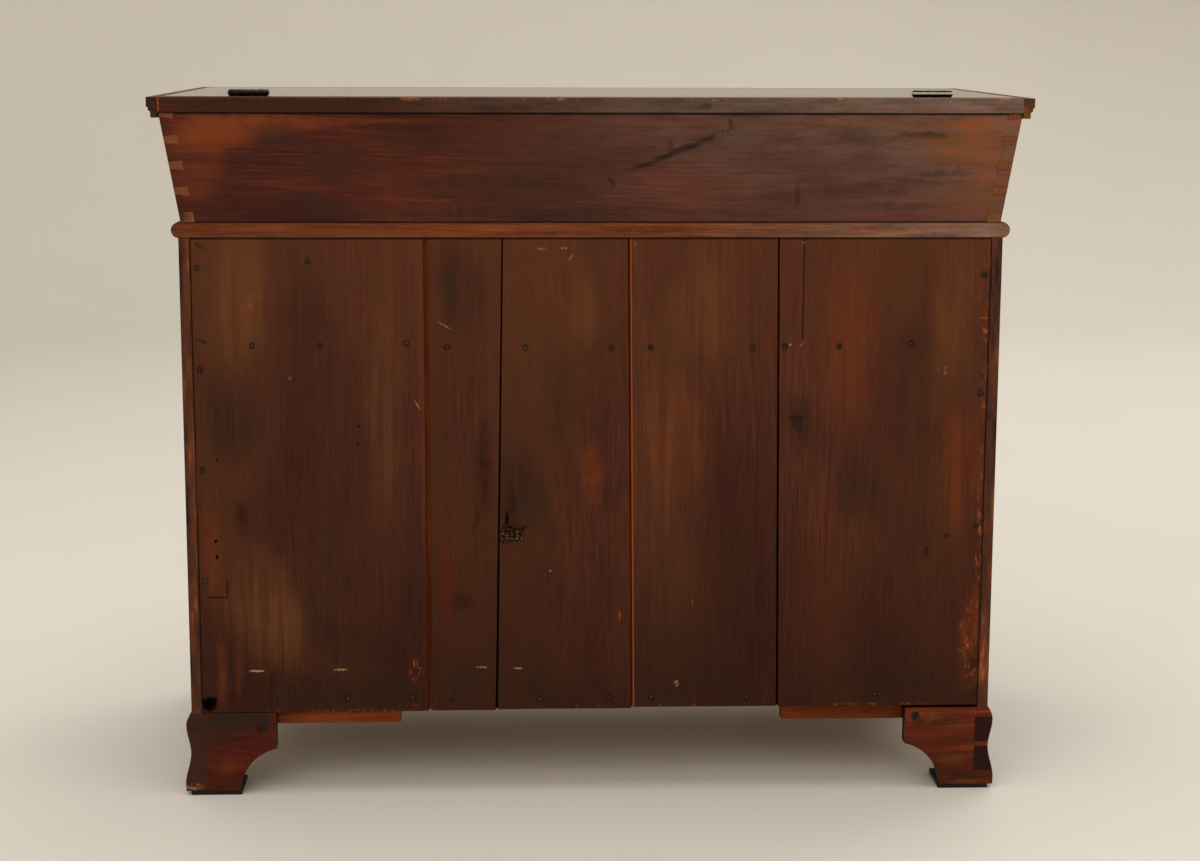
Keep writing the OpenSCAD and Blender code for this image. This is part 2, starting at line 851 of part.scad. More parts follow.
module screw_at_foot() {
  translate([-screw_in, 0, foot_h - screw_down]) rotate([90, 0, 0]) {
    cylinder(h = screw_head_t, r = screw_head_r, $fn = 32);
    cylinder(h = screw_len, r = screw_r, $fn = 20);
  }
}

module foot_screws() {
  slot = [screw_head_r, screw_head_t * 0.4, screw_head_r * 0.11];
  color(dark_iron) for (sx = [-1, 1]) corner(sx, 1) difference() {
    screw_at_foot();
    translate([-screw_in, 0, foot_h - screw_down]) rotate([0, 40 * sx, 0])
      box(-slot - [past, 0, 0], slot + [past, past, 0]);
  }
}

// Waist board, with full round edges at the front and the ends
module waist_board() {
  r = waist_t / 2;
  x = half_w + waist_over - r;
  y = y_front - waist_over + r;
  color(warm_brown) translate([0, 0, z_waist + r]) {
    box([-x, y, -r], [x, y_rear, r]);
    for (s = [-1, 1]) translate([s * x, y_rear, 0]) rotate([90, 0, 0]) cylinder(h = y_rear - y, r = r);
    translate([-x, y, 0]) rotate([0, 90, 0]) cylinder(h = 2 * x, r = r);
    for (s = [-1, 1]) translate([s * x, y, 0]) sphere(r = r);
  }
}

// Trough. The side boards carry the pins, and the front and back boards the tails

trough_tails = tail_rows(trough_h, pin_low, pin_high, pin_count, pin_h);

// The tails' outlines at a side board's end, with the board's inner foot at 0
module trough_tails_shape() {
  translate([trough_x - trough_th, z_well])
    for (t = trough_tails) polygon(tail(t[0], t[1], -2 * past, trough_th + 3 * past, slope));
}

// The section of a side board, and grown outwards where it is a cutter
module trough_side_shape(grow) {
  polygon([[trough_x - trough_th, z_well], [trough_x + grow, z_well],
           [rim_x + grow, z_rim], [rim_x - trough_th, z_rim]]);
}

// What lies between y_end and a plane parallel to the front board's face, off from it
module behind_front(off, y_end) {
  along_x(-lid_x, lid_x)
    polygon([[trough_y + off + past * slope, z_well - past], [rim_y + off - past * slope, z_rim + past],
             [y_end, z_rim + past], [y_end, z_well - past]]);
}

module in_front_board(grow) {
  difference() {
    behind_front(-grow, y_rear);
    behind_front(trough_th, y_rear + past);
  }
}

module trough_side(grow = 0) {
  difference() {
    intersection() {
      along_y(rim_y - 2 * past, y_rear + grow) trough_side_shape(grow);
      behind_front(-grow, y_rear + grow);
    }
    along_y(y_rear - trough_t, y_rear + 2 * past) trough_tails_shape();
    intersection() {
      along_y(rim_y - 2 * trough_th, trough_y + 2 * trough_th) trough_tails_shape();
      in_front_board(grow + past);
    }
  }
}

module trough_side_left() {
  color(warm_brown) side(-1) trough_side();
}

module trough_side_right() {
  color(warm_brown) trough_side();
}

// The outline of the front and back boards, seen from the front
module trough_end_shape() {
  polygon([[-trough_x, z_well], [trough_x, z_well], [rim_x, z_rim], [-rim_x, z_rim]]);
}

module trough_back() {
  color(red_brown) difference() {
    along_y(y_rear - trough_t, y_rear) trough_end_shape();
    both_sides() trough_side(past);
  }
}

module trough_front() {
  color(red_brown) difference() {
    intersection() {
      along_y(rim_y - past, trough_y + 2 * trough_th) trough_end_shape();
      in_front_board(0);
    }
    both_sides() trough_side(past);
  }
}

// Lid, its fixed rail and their mouldings

// Section of the moulding: its inner face at u = 0, its top at v = 0
module moulding_shape() {
  v_bead = bead_h - moulding_h;
  difference() {
    polygon([[0, 0], [moulding_t, 0], [moulding_t, -band_h], [band_in, -band_h - cove_r],
             [band_in, v_bead + lower_cove_r], [bead_in, v_bead], [bead_in, -moulding_h], [0, -moulding_h]]);
    translate([moulding_t, -band_h - cove_r]) circle(r = cove_r, $fn = 32);
    translate([band_in, v_bead]) circle(r = lower_cove_r, $fn = 32);
  }
}

module moulding_run(y0, y1) {
  along_y(y0, y1) translate([lid_x, z_top]) moulding_shape();
}

module lid_rail() {
  color(old_brown) difference() {
    box([-lid_x, y_rail, z_rim], [lid_x, y_rear + rail_over, z_top]);
    lid_leaves(true);
    for (c = rail_chips) translate([c[0] * spread, y_rear + rail_over, z_top]) rotate([45, 0, 0])
      box([0, -rail_chip_d, -rail_chip_d], [(c[1] - c[0]) * spread, rail_chip_d, rail_chip_d]);
  }
}

module rail_mouldings() {
  color(old_brown) both_sides() moulding_run(y_rail, y_rear + rail_over);
}

module lid_board() {
  color(old_brown) difference() {
    box([-lid_x, lid_y, z_lid], [lid_x, y_rail - seam, z_top]);
    lid_leaves(false);
  }
}

// Keeps what lies outside the mitre at the lid's front corners
module mitre_keep(side_run) {
  far = moulding_t + past;
  p = [[lid_x - past, lid_y + past], [lid_x + far, lid_y - far]];
  translate([0, 0, z_top - moulding_h - past]) linear_extrude(moulding_h + 2 * past)
    polygon(side_run ? [p[0], p[1], [lid_x + far, y_rear], [lid_x - past, y_rear]]
                     : [p[0], p[1], [-p[1][0], p[1][1]], [-p[0][0], p[0][1]]]);
}

module lid_side_mouldings() {
  color(old_brown) both_sides() intersection() {
    moulding_run(lid_y - moulding_t, y_rail - seam);
    mitre_keep(true);
  }
}

module lid_front_moulding() {
  color(old_brown) intersection() {
    along_x(-lid_x - moulding_t, lid_x + moulding_t)
      translate([lid_y, z_top]) mirror([1, 0]) moulding_shape();
    mitre_keep(false);
  }
}

module lid_battens() {
  mid = (trough_y + trough_th + y_rear - trough_t) / 2 - batten_front;
  color(inner_wood) both_sides()
    box([batten_x - batten_w / 2, mid - batten_len / 2, z_lid - batten_t],
        [batten_x + batten_w / 2, mid + batten_len / 2, z_lid]);
}

// Hinges. A hinge is drawn with its pin along X through the origin, its fixed leaf
// hanging at +Y and its moving leaf at -Y

knuckles = 5;

module knuckle(len, r, k) {
  pitch = len / knuckles;
  translate([-len / 2 + k * pitch + slide_gap / 2, 0, 0])
    rotate([0, 90, 0]) cylinder(h = pitch - slide_gap, r = r);
}

// The leaf alone, as wide as the knuckles reach, let into the wood below the pin
module leaf(len, r, leaf_h) {
  box([-len / 2, seam / 2, -r - slide_gap - leaf_h], [len / 2, seam / 2 + leaf_t, -r - slide_gap]);
}

module hinge_half(len, r, leaf_h, first) {
  pitch = len / knuckles;
  difference() {
    union() {
      leaf(len, r, leaf_h);
      for (k = [first : 2 : knuckles - 1]) {
        x = -len / 2 + k * pitch;
        knuckle(len, r, k);
        box([x + slide_gap / 2, seam / 2, -r - slide_gap - leaf_t],
            [x + pitch - slide_gap / 2, seam / 2 + leaf_t, 0]);
      }
    }
    translate([-len, 0, 0]) rotate([0, 90, 0]) cylinder(h = 2 * len, r = hinge_pin_r + pin_clear);
  }
}

// The pin, with a flat head at each end
module hinge_pin(len) {
  rotate([0, 90, 0]) {
    translate([0, 0, -len / 2]) cylinder(h = len, r = hinge_pin_r);
    for (z = [-len / 2 - hinge_head_t, len / 2]) translate([0, 0, z])
      cylinder(h = hinge_head_t, r = hinge_head_r);
  }
}

module at_lid_hinges() {
  for (s = [-1, 1]) translate([s * lid_hinge_x, y_seam, lid_pin_z]) children();
}

// What one half of the lid's hinges needs cut from the wood: a slot for the leaf and a
// shallow gain below the knuckles, so that nothing hangs over the lid's face
module lid_leaves(fixed) {
  x = lid_hinge_len / 2 + hinge_head_t + slide_gap;
  r = lid_knuckle_r + slide_gap;
  at_lid_hinges() mirror([0, fixed ? 0 : 1, 0]) {
    leaf(lid_hinge_len, lid_knuckle_r, lid_leaf_h);
    box([-x, 0, -r - lid_gain], [x, r, 0]);
  }
}

module lid_hinge_fixed() {
  color(dark_brass) at_lid_hinges() {
    hinge_half(lid_hinge_len, lid_knuckle_r, lid_leaf_h, 0);
    hinge_pin(lid_hinge_len);
  }
}

module lid_hinge_moving() {
  color(dark_brass) at_lid_hinges() mirror([0, 1, 0]) hinge_half(lid_hinge_len, lid_knuckle_r, lid_leaf_h, 1);
}

// The right door's hinges: the pin is upright and the fixed leaf is on the stile
module at_door_hinges() {
  for (z = hinge_levels) translate([door_pin_x, door_pin_y, z]) rotate([90, 90, 0]) children();
}

module door_leaves(fixed) {
  at_door_hinges() mirror([0, fixed ? 0 : 1, 0]) leaf(door_hinge_len, door_knuckle_r, door_leaf_w);
}

module door_hinge_fixed() {
  color(dark_brass) both_sides() at_door_hinges() {
    hinge_half(door_hinge_len, door_knuckle_r, door_leaf_w, 0);
    hinge_pin(door_hinge_len);
  }
}

module door_hinge_moving() {
  at_door_hinges() mirror([0, 1, 0]) hinge_half(door_hinge_len, door_knuckle_r, door_leaf_w, 1);
}

// Knobs, turned, with a round tenon. Drawn with the face at the origin, standing along -Y
module knob() {
  dome_r = knob_r * 1.12;
  head_y = knob_out - knob_head;
  waist_r = (head_y - knob_foot_t) / 2;
  rotate([90, 0, 0]) rotate_extrude() {
    square([knob_foot_r, knob_foot_t]);
    difference() {
      square([knob_neck_r + waist_r, head_y + past]);
      translate([knob_neck_r + waist_r, knob_foot_t + waist_r]) circle(r = waist_r);
      translate([knob_neck_r, knob_foot_t + waist_r]) square([waist_r + past, head_y]);
    }
    intersection() {
      translate([0, knob_out - dome_r]) circle(r = dome_r);
      translate([0, head_y]) square([knob_r, knob_out]);
    }
    translate([0, -knob_tenon]) square([knob_tenon_r, knob_tenon + past]);
  }
}

// Drawers, drawn for the right-hand opening

back_tails = tail_rows(box_h - groove_up - drawer_bottom_t, drawer_pin_end, drawer_pin_end, 1, drawer_pin);
front_tails = tail_rows(box_h, groove_up - pin_to_groove, drawer_pin_end, 2, drawer_pin);

module drawer_front_block() {
  box([opening_x - drawer_w / 2, y_front, z_drawer],
      [opening_x + drawer_w / 2, y_front + drawer_front_t, z_drawer + drawer_h]);
}

// Outline of a side, grown by g where it is a cutter
module drawer_side_shape(g) {
  depth = drawer_front_t - front_lap;
  back_v = groove_up + drawer_bottom_t;
  run = drawer_len - drawer_front_t - drawer_side_t;
  translate([y_front + drawer_front_t, z_drawer]) {
    square([run + g, box_h]);
    mirror([1, 0]) for (t = front_tails) polygon(tail(t[0], t[1], -past, depth));
    translate([run, 0]) {
      translate([-past, 0]) square([drawer_side_t + past + g, back_v + g]);
      translate([0, back_v]) for (t = back_tails) polygon(tail(t[0] - g, t[1] + g, -past, drawer_side_t + g));
    }
  }
}

module drawer_sides_solid(g = 0) {
  for (s = [-1, 1]) {
    x = opening_x + s * (drawer_w / 2 - drawer_side_t / 2);
    along_x(x - drawer_side_t / 2 - g, x + drawer_side_t / 2 + g) drawer_side_shape(g);
  }
}

module drawer_bottom_solid() {
  reach = drawer_w / 2 - drawer_side_t + groove_d;
  box([opening_x - reach, y_front + drawer_front_t - groove_d, z_drawer + groove_up],
      [opening_x + reach, y_drawer_end, z_drawer + groove_up + drawer_bottom_t]);
}

module drawer_knob_at() {
  translate([opening_x, y_front, z_drawer + drawer_h / 2]) knob();
}

module drawer_front() {
  color(warm_brown) difference() {
    drawer_front_block();
    drawer_sides_solid();
    drawer_bottom_solid();
    drawer_knob_at();
  }
}

module drawer_box() {
  color(inner_wood) {
    difference() {
      drawer_sides_solid();
      drawer_bottom_solid();
    }
    difference() {
      box([opening_x - drawer_w / 2, y_drawer_end - drawer_side_t, box_z],
          [opening_x + drawer_w / 2, y_drawer_end, z_drawer + box_h]);
      drawer_sides_solid(glue);
    }
  }
}

module drawer_bottom() {
  color(inner_wood) drawer_bottom_solid();
}

module drawer_knob() {
  color(warm_brown) drawer_knob_at();
}

// Doors, drawn for the right-hand opening

door_in = [door_w - 2 * door_frame_w, door_h - 2 * door_frame_w];

// The rails with their tenons, less g all round
module door_rails(g) {
  half = door_in[0] / 2 - g;
  haunch = panel_groove_d + g;
  for (z0 = [door_z, door_z + door_h - door_frame_w]) {
    box([opening_x - half, y_front, z0], [opening_x + half, y_front + door_t, z0 + door_frame_w]);
    box([opening_x - half - door_tenon, y_groove + g, z0 + haunch],
        [opening_x + half + door_tenon, y_groove + panel_groove - g, z0 + door_frame_w - haunch]);
  }
}

// The groove that runs round the inside of the frame, and stops at the rails' ends
// where stopped is true
module door_groove(stopped) {
  x = door_in[0] / 2 + (stopped ? 0 : panel_groove_d);
  z = door_in[1] / 2 + panel_groove_d;
  box([opening_x - x, y_groove, door_mid - z], [opening_x + x, y_groove + panel_groove, door_mid + z]);
}

module door_knob_at() {
  translate([middle_w / 2 + seam + door_frame_w / 2, y_front, door_mid + door_knob_up]) knob();
}

module door_frame() {
  color(warm_brown) {
    difference() {
      for (s = [-1, 1]) {
        x = opening_x + s * (door_w - door_frame_w) / 2;
        box([x - door_frame_w / 2, y_front, door_z],
            [x + door_frame_w / 2, y_front + door_t, door_z + door_h]);
      }
      door_rails(0);
      door_groove(false);
      door_knob_at();
      door_leaves(false);
    }
    difference() {
      door_rails(glue);
      door_groove(true);
    }
  }
}

// Section of the cut that bevels a panel's edge: u runs in from the edge, v back
// from the field's face
module bevel_cut_shape(v_tongue) {
  tongue = panel_groove_d - panel_float;
  polygon([[-past, -past], [-past, v_tongue], [tongue, v_tongue], [tongue + bevel_w, field_step],
           [tongue + bevel_w, -past]]);
}

module door_panel() {
  half = [door_in[0] / 2 + panel_groove_d - panel_float, door_in[1] / 2 + panel_groove_d - panel_float];
  face = y_front + field_back;
  v_tongue = y_groove + slide_gap - face;
  color(red_brown) difference() {
    box([opening_x - half[0], face, door_mid - half[1]],
        [opening_x + half[0], y_groove + panel_groove - slide_gap, door_mid + half[1]]);
    for (s = [-1, 1]) {
      translate([opening_x, face, door_mid]) side(s) translate([-half[0], 0, -half[1] - past])
        linear_extrude(2 * (half[1] + past)) bevel_cut_shape(v_tongue);
      translate([opening_x - half[0] - past, face, door_mid]) mirror([0, 0, s < 0 ? 1 : 0])
        translate([0, 0, -half[1]]) rotate([90, 0, 90]) linear_extrude(2 * (half[0] + past))
          mirror([1, -1]) bevel_cut_shape(v_tongue);
    }
  }
}

module door_knob() {
  color(warm_brown) door_knob_at();
}

side_panel_left();
side_panel_right();
back_board_1();
back_board_2();
back_board_3();
back_board_4();
back_board_5();
back_nails();
waist_board();
trough_back();
trough_front();
trough_side_left();
trough_side_right();
lid_rail();
rail_mouldings();
case_bottom();
front_stiles();
centre_stile();
top_rail();
drawer_rail();
drawer_divider();
bottom_rail();
door_stop();
rear_rail();
rear_top_cleat();
drawer_runners();
drawer_guides();
shelf();
shelf_cleats();
foot_rear_left();
foot_rear_right();
foot_front_left();
foot_front_right();
corner_blocks();
foot_pads();
foot_cleats();
foot_screws();
lid_hinge_fixed();
door_hinge_fixed();
lid_board();
lid_front_moulding();
lid_side_mouldings();
lid_battens();
lid_hinge_moving();
side(-1) drawer_front();  // drawer_left_front
side(-1) drawer_box();  // drawer_left_box
side(-1) drawer_bottom();  // drawer_left_bottom
side(-1) drawer_knob();  // drawer_left_knob
drawer_front();  // drawer_right_front
drawer_box();  // drawer_right_box
drawer_bottom();  // drawer_right_bottom
drawer_knob();  // drawer_right_knob
side(-1) door_frame();  // door_left_frame
side(-1) door_panel();  // door_left_panel
side(-1) door_knob();  // door_left_knob
side(-1) color(dark_brass) door_hinge_moving();  // door_left_hinges
door_frame();  // door_right_frame
door_panel();  // door_right_panel
door_knob();  // door_right_knob
color(dark_brass) door_hinge_moving();  // door_right_hinges
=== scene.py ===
"""Looks of a dry sink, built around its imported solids. Metres, +Z up, the front faces -Y."""

import math

import bpy
from mathutils import Matrix, Vector


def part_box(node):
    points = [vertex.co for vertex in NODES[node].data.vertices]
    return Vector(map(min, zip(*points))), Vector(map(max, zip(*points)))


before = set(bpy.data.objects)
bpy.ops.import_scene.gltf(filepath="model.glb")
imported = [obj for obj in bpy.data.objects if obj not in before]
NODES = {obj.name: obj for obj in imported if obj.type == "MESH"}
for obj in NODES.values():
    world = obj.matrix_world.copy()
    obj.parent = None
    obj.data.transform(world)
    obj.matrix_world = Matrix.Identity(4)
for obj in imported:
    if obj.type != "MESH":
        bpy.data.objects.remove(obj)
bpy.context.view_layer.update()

MM = 0.001

# Places on the piece that its looks follow
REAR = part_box("back_board_1")[1].y
CASE_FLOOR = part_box("case_bottom")[0].z
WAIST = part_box("waist_board")[0].z
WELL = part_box("waist_board")[1].z
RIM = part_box("trough_back")[1].z
CASE_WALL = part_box("shelf")[1].x
FRAME_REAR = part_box("front_stiles")[1].y
HINGE_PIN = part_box("lid_hinge_fixed")[1].z - 3.6 * MM

# How often a pattern repeats in a metre: across, across and along the grain, or all ways alike
RINGS_PER_METRE = 300
SWAY, FIBRE, PORES = (7, 7, 1.8), (400, 400, 13), (1100, 1100, 30)
CLOUD, DRIFT, STREAKS = (8, 8, 3), (5, 5, 1.6), (110, 110, 5)
MOTTLE, RUBBED, TORN, BLOTCH = 260, 26, 420, 180

# How far wear and painted edge shade reach from a wooden edge, how far wear reaches from a metal edge, and
# how far painted shade reaches into an inner corner
WOOD_ARRIS, METAL_ARRIS, NOOK = 1.3 * MM, 0.5 * MM, 9 * MM
EDGE_SAMPLES = 6
# Colours of the painted shade along edges and in corners, and of the painted sheen
EDGE_SHADE, CORNER_SHADE, SHEEN_TONE = "0f0704", "0d0604", "8c7565"

# How deep the bump of wood and of metal is
WOOD_RELIEF, METAL_RELIEF, BUMP = 0.2 * MM, 0.1 * MM, 0.3

# A mark whose smaller radius is under SHARP mm is crisp, one over WIDE mm has a torn outline.
# Outlines are shaken by up to half of these lengths. Marks reach MARK_DEPTH into the wood.
SHARP, WIDE = 5, 24
SHAKE, WIDE_SHAKE = 7 * MM, 60 * MM
MARK_DEPTH = 30 * MM

# Vertices closer than this are one, when a node is parted into its solids
WELD = 0.005 * MM


# Colours and materials


def colour(code):
    """A colour written as sRGB hex, in the scene's linear values."""
    channels = [int(code[i : i + 2], 16) / 255 for i in (0, 2, 4)]
    linear = [c / 12.92 if c <= 0.04045 else ((c + 0.055) / 1.055) ** 2.4 for c in channels]
    return (*linear, 1.0)


class Graph:
    """One material's nodes. Each method adds nodes and returns an output socket."""

    def __init__(self, name):
        self.material = bpy.data.materials.new(name)
        self.material.use_nodes = True
        self.tree = self.material.node_tree
        self.tree.nodes.clear()
        coords = self.tree.nodes.new("ShaderNodeTexCoord")
        self.place, self.normal = coords.outputs["Object"], coords.outputs["Normal"]

    def add(self, kind, output=0, settings=None, **inputs):
        """Adds a node. Inputs go by name, with _ for a space, or by number as i0, i1 and so on."""
        node = self.tree.nodes.new(kind)
        for key, value in (settings or {}).items():
            setattr(node, key, value)
        for key, value in inputs.items():
            numbered = key[0] == "i" and key[1:].isdigit()
            socket = node.inputs[int(key[1:]) if numbered else key.replace("_", " ")]
            if isinstance(value, bpy.types.NodeSocket):
                self.tree.links.new(value, socket)
            else:
                socket.default_value = value
        return node.outputs[output]

    def math(self, operation, a, b=0.0, clamp=False):
        return self.add("ShaderNodeMath", settings={"operation": operation, "use_clamp": clamp}, i0=a, i1=b)

    def vector(self, operation, output=0, **inputs):
        return self.add("ShaderNodeVectorMath", output, {"operation": operation}, **inputs)

    def coordinates(self):
        return self.add("ShaderNodeSeparateXYZ", i0=self.place).node.outputs

    def move(self, vector, shift=(0, 0, 0), turn=(0, 0, 0), scale=(1, 1, 1), kind="POINT"):
        return self.add(
            "ShaderNodeMapping",
            settings={"vector_type": kind},
            i0=vector, i1=shift, i2=[math.radians(a) for a in turn], i3=scale,
        )

    def noise(self, vector, scale=1.0, detail=2.0, rough=0.5, distortion=0.0, output=0):
        return self.add(
            "ShaderNodeTexNoise", output,
            Vector=vector, Scale=scale, Detail=detail, Roughness=rough, Distortion=distortion,
        )

    def remap(self, value, low, high, to_low=0.0, to_high=1.0, smooth=True):
        kind = "SMOOTHSTEP" if smooth else "LINEAR"
        return self.add(
            "ShaderNodeMapRange",
            settings={"interpolation_type": kind, "clamp": True},
            i0=value, i1=low, i2=high, i3=to_low, i4=to_high,
        )

    def mix(self, factor, a, b):
        return self.add(
            "ShaderNodeMix", output=2,
            settings={"data_type": "RGBA", "blend_type": "MIX", "clamp_factor": True},
            i0=factor, i6=a, i7=b,
        )

    def ramp(self, value, stops):
        """A colour ramp through stops of (place, colour)."""
        node = self.tree.nodes.new("ShaderNodeValToRGB")
        elements = node.color_ramp.elements
        while len(elements) < len(stops):
            elements.new(0.5)
        for element, (at, tone) in zip(elements, stops):
            element.position, element.color = at, tone
        self.tree.links.new(value, node.inputs[0])
        return node.outputs[0]

    def spot(self, vector, centre, radii, angle, soft):
        """1 inside an ellipse on the back, fading to 0 at its edge. Sizes are in mm along X and Z."""
        local = self.move(
            vector,
            shift=(centre[0] * MM, REAR, centre[1] * MM),
            turn=(0, -angle, 0),
            scale=(radii[0] * MM, MARK_DEPTH, radii[1] * MM),
            kind="TEXTURE",
        )
        ball = self.add(
            "ShaderNodeTexGradient", output=1, settings={"gradient_type": "SPHERICAL"}, Vector=local
        )
        return self.remap(ball, 0.0, soft)

    def shaken(self, vector, noise, reach):
        """A vector moved about by a noise colour, by up to half of reach along each axis."""
        moved = self.vector("MULTIPLY_ADD", i0=noise, i1=reach, i2=vector)
        return self.move(moved, shift=[-r / 2 for r in reach])

    def arris(self, radius):
        """The normal with its edges rounded, and how well the true normal agrees with it."""
        rounded = self.add("ShaderNodeBevel", settings={"samples": EDGE_SAMPLES}, Radius=radius)
        true_normal = self.add("ShaderNodeNewGeometry", output=3)
        return rounded, self.vector("DOT_PRODUCT", 1, i0=rounded, i1=true_normal)

    def finish(self, base, roughness, normal=None, **constants):
        """Ends the material in a Principled shader, whose constants sit on its own sockets."""
        shader = self.tree.nodes.new("ShaderNodeBsdfPrincipled")
        for key, value in {"Base Color": base, "Roughness": roughness, "Normal": normal}.items():
            if isinstance(value, bpy.types.NodeSocket):
                self.tree.links.new(value, shader.inputs[key])
            elif value is not None:
                shader.inputs[key].default_value = value
        for key, value in constants.items():
            shader.inputs[key.replace("_", " ")].default_value = value
        out = self.tree.nodes.new("ShaderNodeOutputMaterial")
        self.tree.links.new(shader.outputs[0], out.inputs[0])
        return self.material


# A finish: the wood's dark, mid and light tone, a second hue that clouds over it and the colour
# that wear lays bare, with end and chip where end grain shows plainly. Then how rough, reflecting
# and lacquered it is, and how strong its rings, fibres, clouds and wear are.
FINISHES = {
    "back": dict(
        dark="2b150e", mid="44231a", light="5e351f", hue="4b2b18", worn="9a4f22",
        rough=0.66, shine=0.05, coat=0.0, rings=0.14, fibre=0.28, cloud=0.65, wear=0.5,
    ),
    "case": dict(
        dark="3c1b10", mid="5e2d18", light="7c4224", hue="6a3a1c", worn="9c5428",
        rough=0.48, shine=0.14, coat=0.0, rings=0.3, fibre=0.2, cloud=0.7, wear=0.55,
    ),
    "trough": dict(
        dark="270f0a", mid="411c13", light="6a2f18", hue="5c2612", worn="96491f",
        rough=0.42, shine=0.1, coat=0.0, rings=0.2, fibre=0.3, cloud=1.0, wear=0.3,
    ),
    "waist": dict(
        dark="45220f", mid="653319", light="824824", hue="6c3316", worn="94552a",
        rough=0.42, shine=0.1, coat=0.0, rings=0.36, fibre=0.6, cloud=1.4, wear=0.4,
    ),
    "rail": dict(
        dark="1e0e08", mid="341a10", light="502a16", hue="402012", worn="8a4322",
        rough=0.36, shine=0.1, coat=0.0, rings=0.3, fibre=0.5, cloud=1.4, wear=0.5,
    ),
    "end_rail": dict(
        dark="1c0e08", mid="341a10", light="4e2817", hue="442013", worn="9a5022", end="2a1912", chip="45291a",
        rough=0.36, shine=0.1, coat=0.0, rings=0.3, fibre=0.36, cloud=1.2, wear=0.6,
    ),
    "lid": dict(
        dark="26130c", mid="3f2014", light="5a301c", hue="4e2316", worn="8a4322",
        rough=0.36, shine=0.12, coat=1.0, rings=0.24, fibre=0.2, cloud=0.7, wear=0.4,
    ),
    "dovetail": dict(
        dark="2e160d", mid="52291a", light="743d22", hue="5e2c16", worn="96491f", end="66371b", chip="8c5026",
        rough=0.45, shine=0.16, coat=0.0, rings=0.3, fibre=0.24, cloud=1.0, wear=0.3,
    ),
    "foot": dict(
        dark="1c0c08", mid="3a170e", light="602612", hue="4e1c0f", worn="8a4722", end="36201a", chip="4a2a1e",
        rough=0.5, shine=0.08, coat=0.0, rings=0.4, fibre=0.26, cloud=1.2, wear=0.9,
    ),
    "bright_foot": dict(
        dark="34140a", mid="562110", light="84401b", hue="662810", worn="9c5626", end="170b08", chip="26140d",
        rough=0.5, shine=0.08, coat=0.0, rings=0.4, fibre=0.26, cloud=1.2, wear=0.9,
    ),
    "front": dict(
        dark="3c180d", mid="602a15", light="82431f", hue="6c3015", worn="9c5a2b",
        rough=0.36, shine=0.2, coat=0.2, rings=0.34, fibre=0.18, cloud=0.6, wear=0.5,
    ),
    "inner": dict(
        dark="5a3920", mid="80552f", light="a07545", hue="7a4c28", worn="b58a58",
        rough=0.78, shine=0.1, coat=0.0, rings=0.34, fibre=0.18, cloud=0.6, wear=0.2,
    ),
    "raw": dict(
        dark="4a1f0a", mid="702f10", light="98491c", hue="823814", worn="b5702f",
        rough=0.7, shine=0.1, coat=0.0, rings=0.3, fibre=0.25, cloud=0.8, wear=0.2,
    ),
    # Painted shade: the near-black of a board's lap where its seam lies in shadow
    "soot": dict(
        dark="0b0705", mid="140c09", light="22130c", hue="1a0e09", worn="3a1c10",
        rough=0.8, shine=0.05, coat=0.0, rings=0.1, fibre=0.2, cloud=0.8, wear=0.3,
    ),
    "pad": dict(
        dark="0a0807", mid="120e0c", light="1f1814", hue="17110e", worn="3a2a20",
        rough=0.6, shine=0.3, coat=0.0, rings=0.1, fibre=0.2, cloud=0.6, wear=0.4,
    ),
}
# Painted shade among these: seam is the near-black of shadow lines along joints, hole the shade inside a
# hole, and bright is a painted glint on a nail head
MARK_TONES = {
    "dark": "1a0e0a", "soot": "0a0605", "stain": "2a1d14", "light": "6a4022", "warm": "6e3316",
    "raw": "9c4a1a", "pale": "a98a5a", "red": "551c10", "grey": "6d5a4c", "flecks": "a5521e",
    "hole": "080504", "seam": "0a0605", "bright": "6b5a46", "rim": "92461d",
}


def grain(g, board, seed):
    """Growth rings of uneven width around a pith behind the face, and fibres and pores along it."""
    lean = (1.6 * math.sin(seed), 2.0 * math.cos(1.7 * seed), 0)
    pith = (0.03 * math.sin(2.3 * seed), 0.06 + 0.03 * math.cos(seed), 0)
    log = g.move(board, shift=pith, turn=lean)
    sway = g.noise(g.move(log, scale=SWAY), output=1)
    log = g.vector("MULTIPLY_ADD", i0=sway, i1=(0.022, 0.022, 0), i2=log)
    radius = g.vector("LENGTH", 1, i0=g.vector("MULTIPLY", i0=log, i1=(1, 1, 0)))
    rings = g.add(
        "ShaderNodeTexNoise", settings={"noise_dimensions": "1D"},
        W=g.math("MULTIPLY", radius, RINGS_PER_METRE), Scale=1.0, Detail=3, Roughness=0.6,
    )
    fibre = g.noise(g.move(board, scale=FIBRE), detail=4, rough=0.7)
    fibre = g.remap(fibre, 0.32, 0.68, smooth=False)
    pores = g.noise(g.move(board, scale=PORES), detail=2)
    return rings, fibre, pores


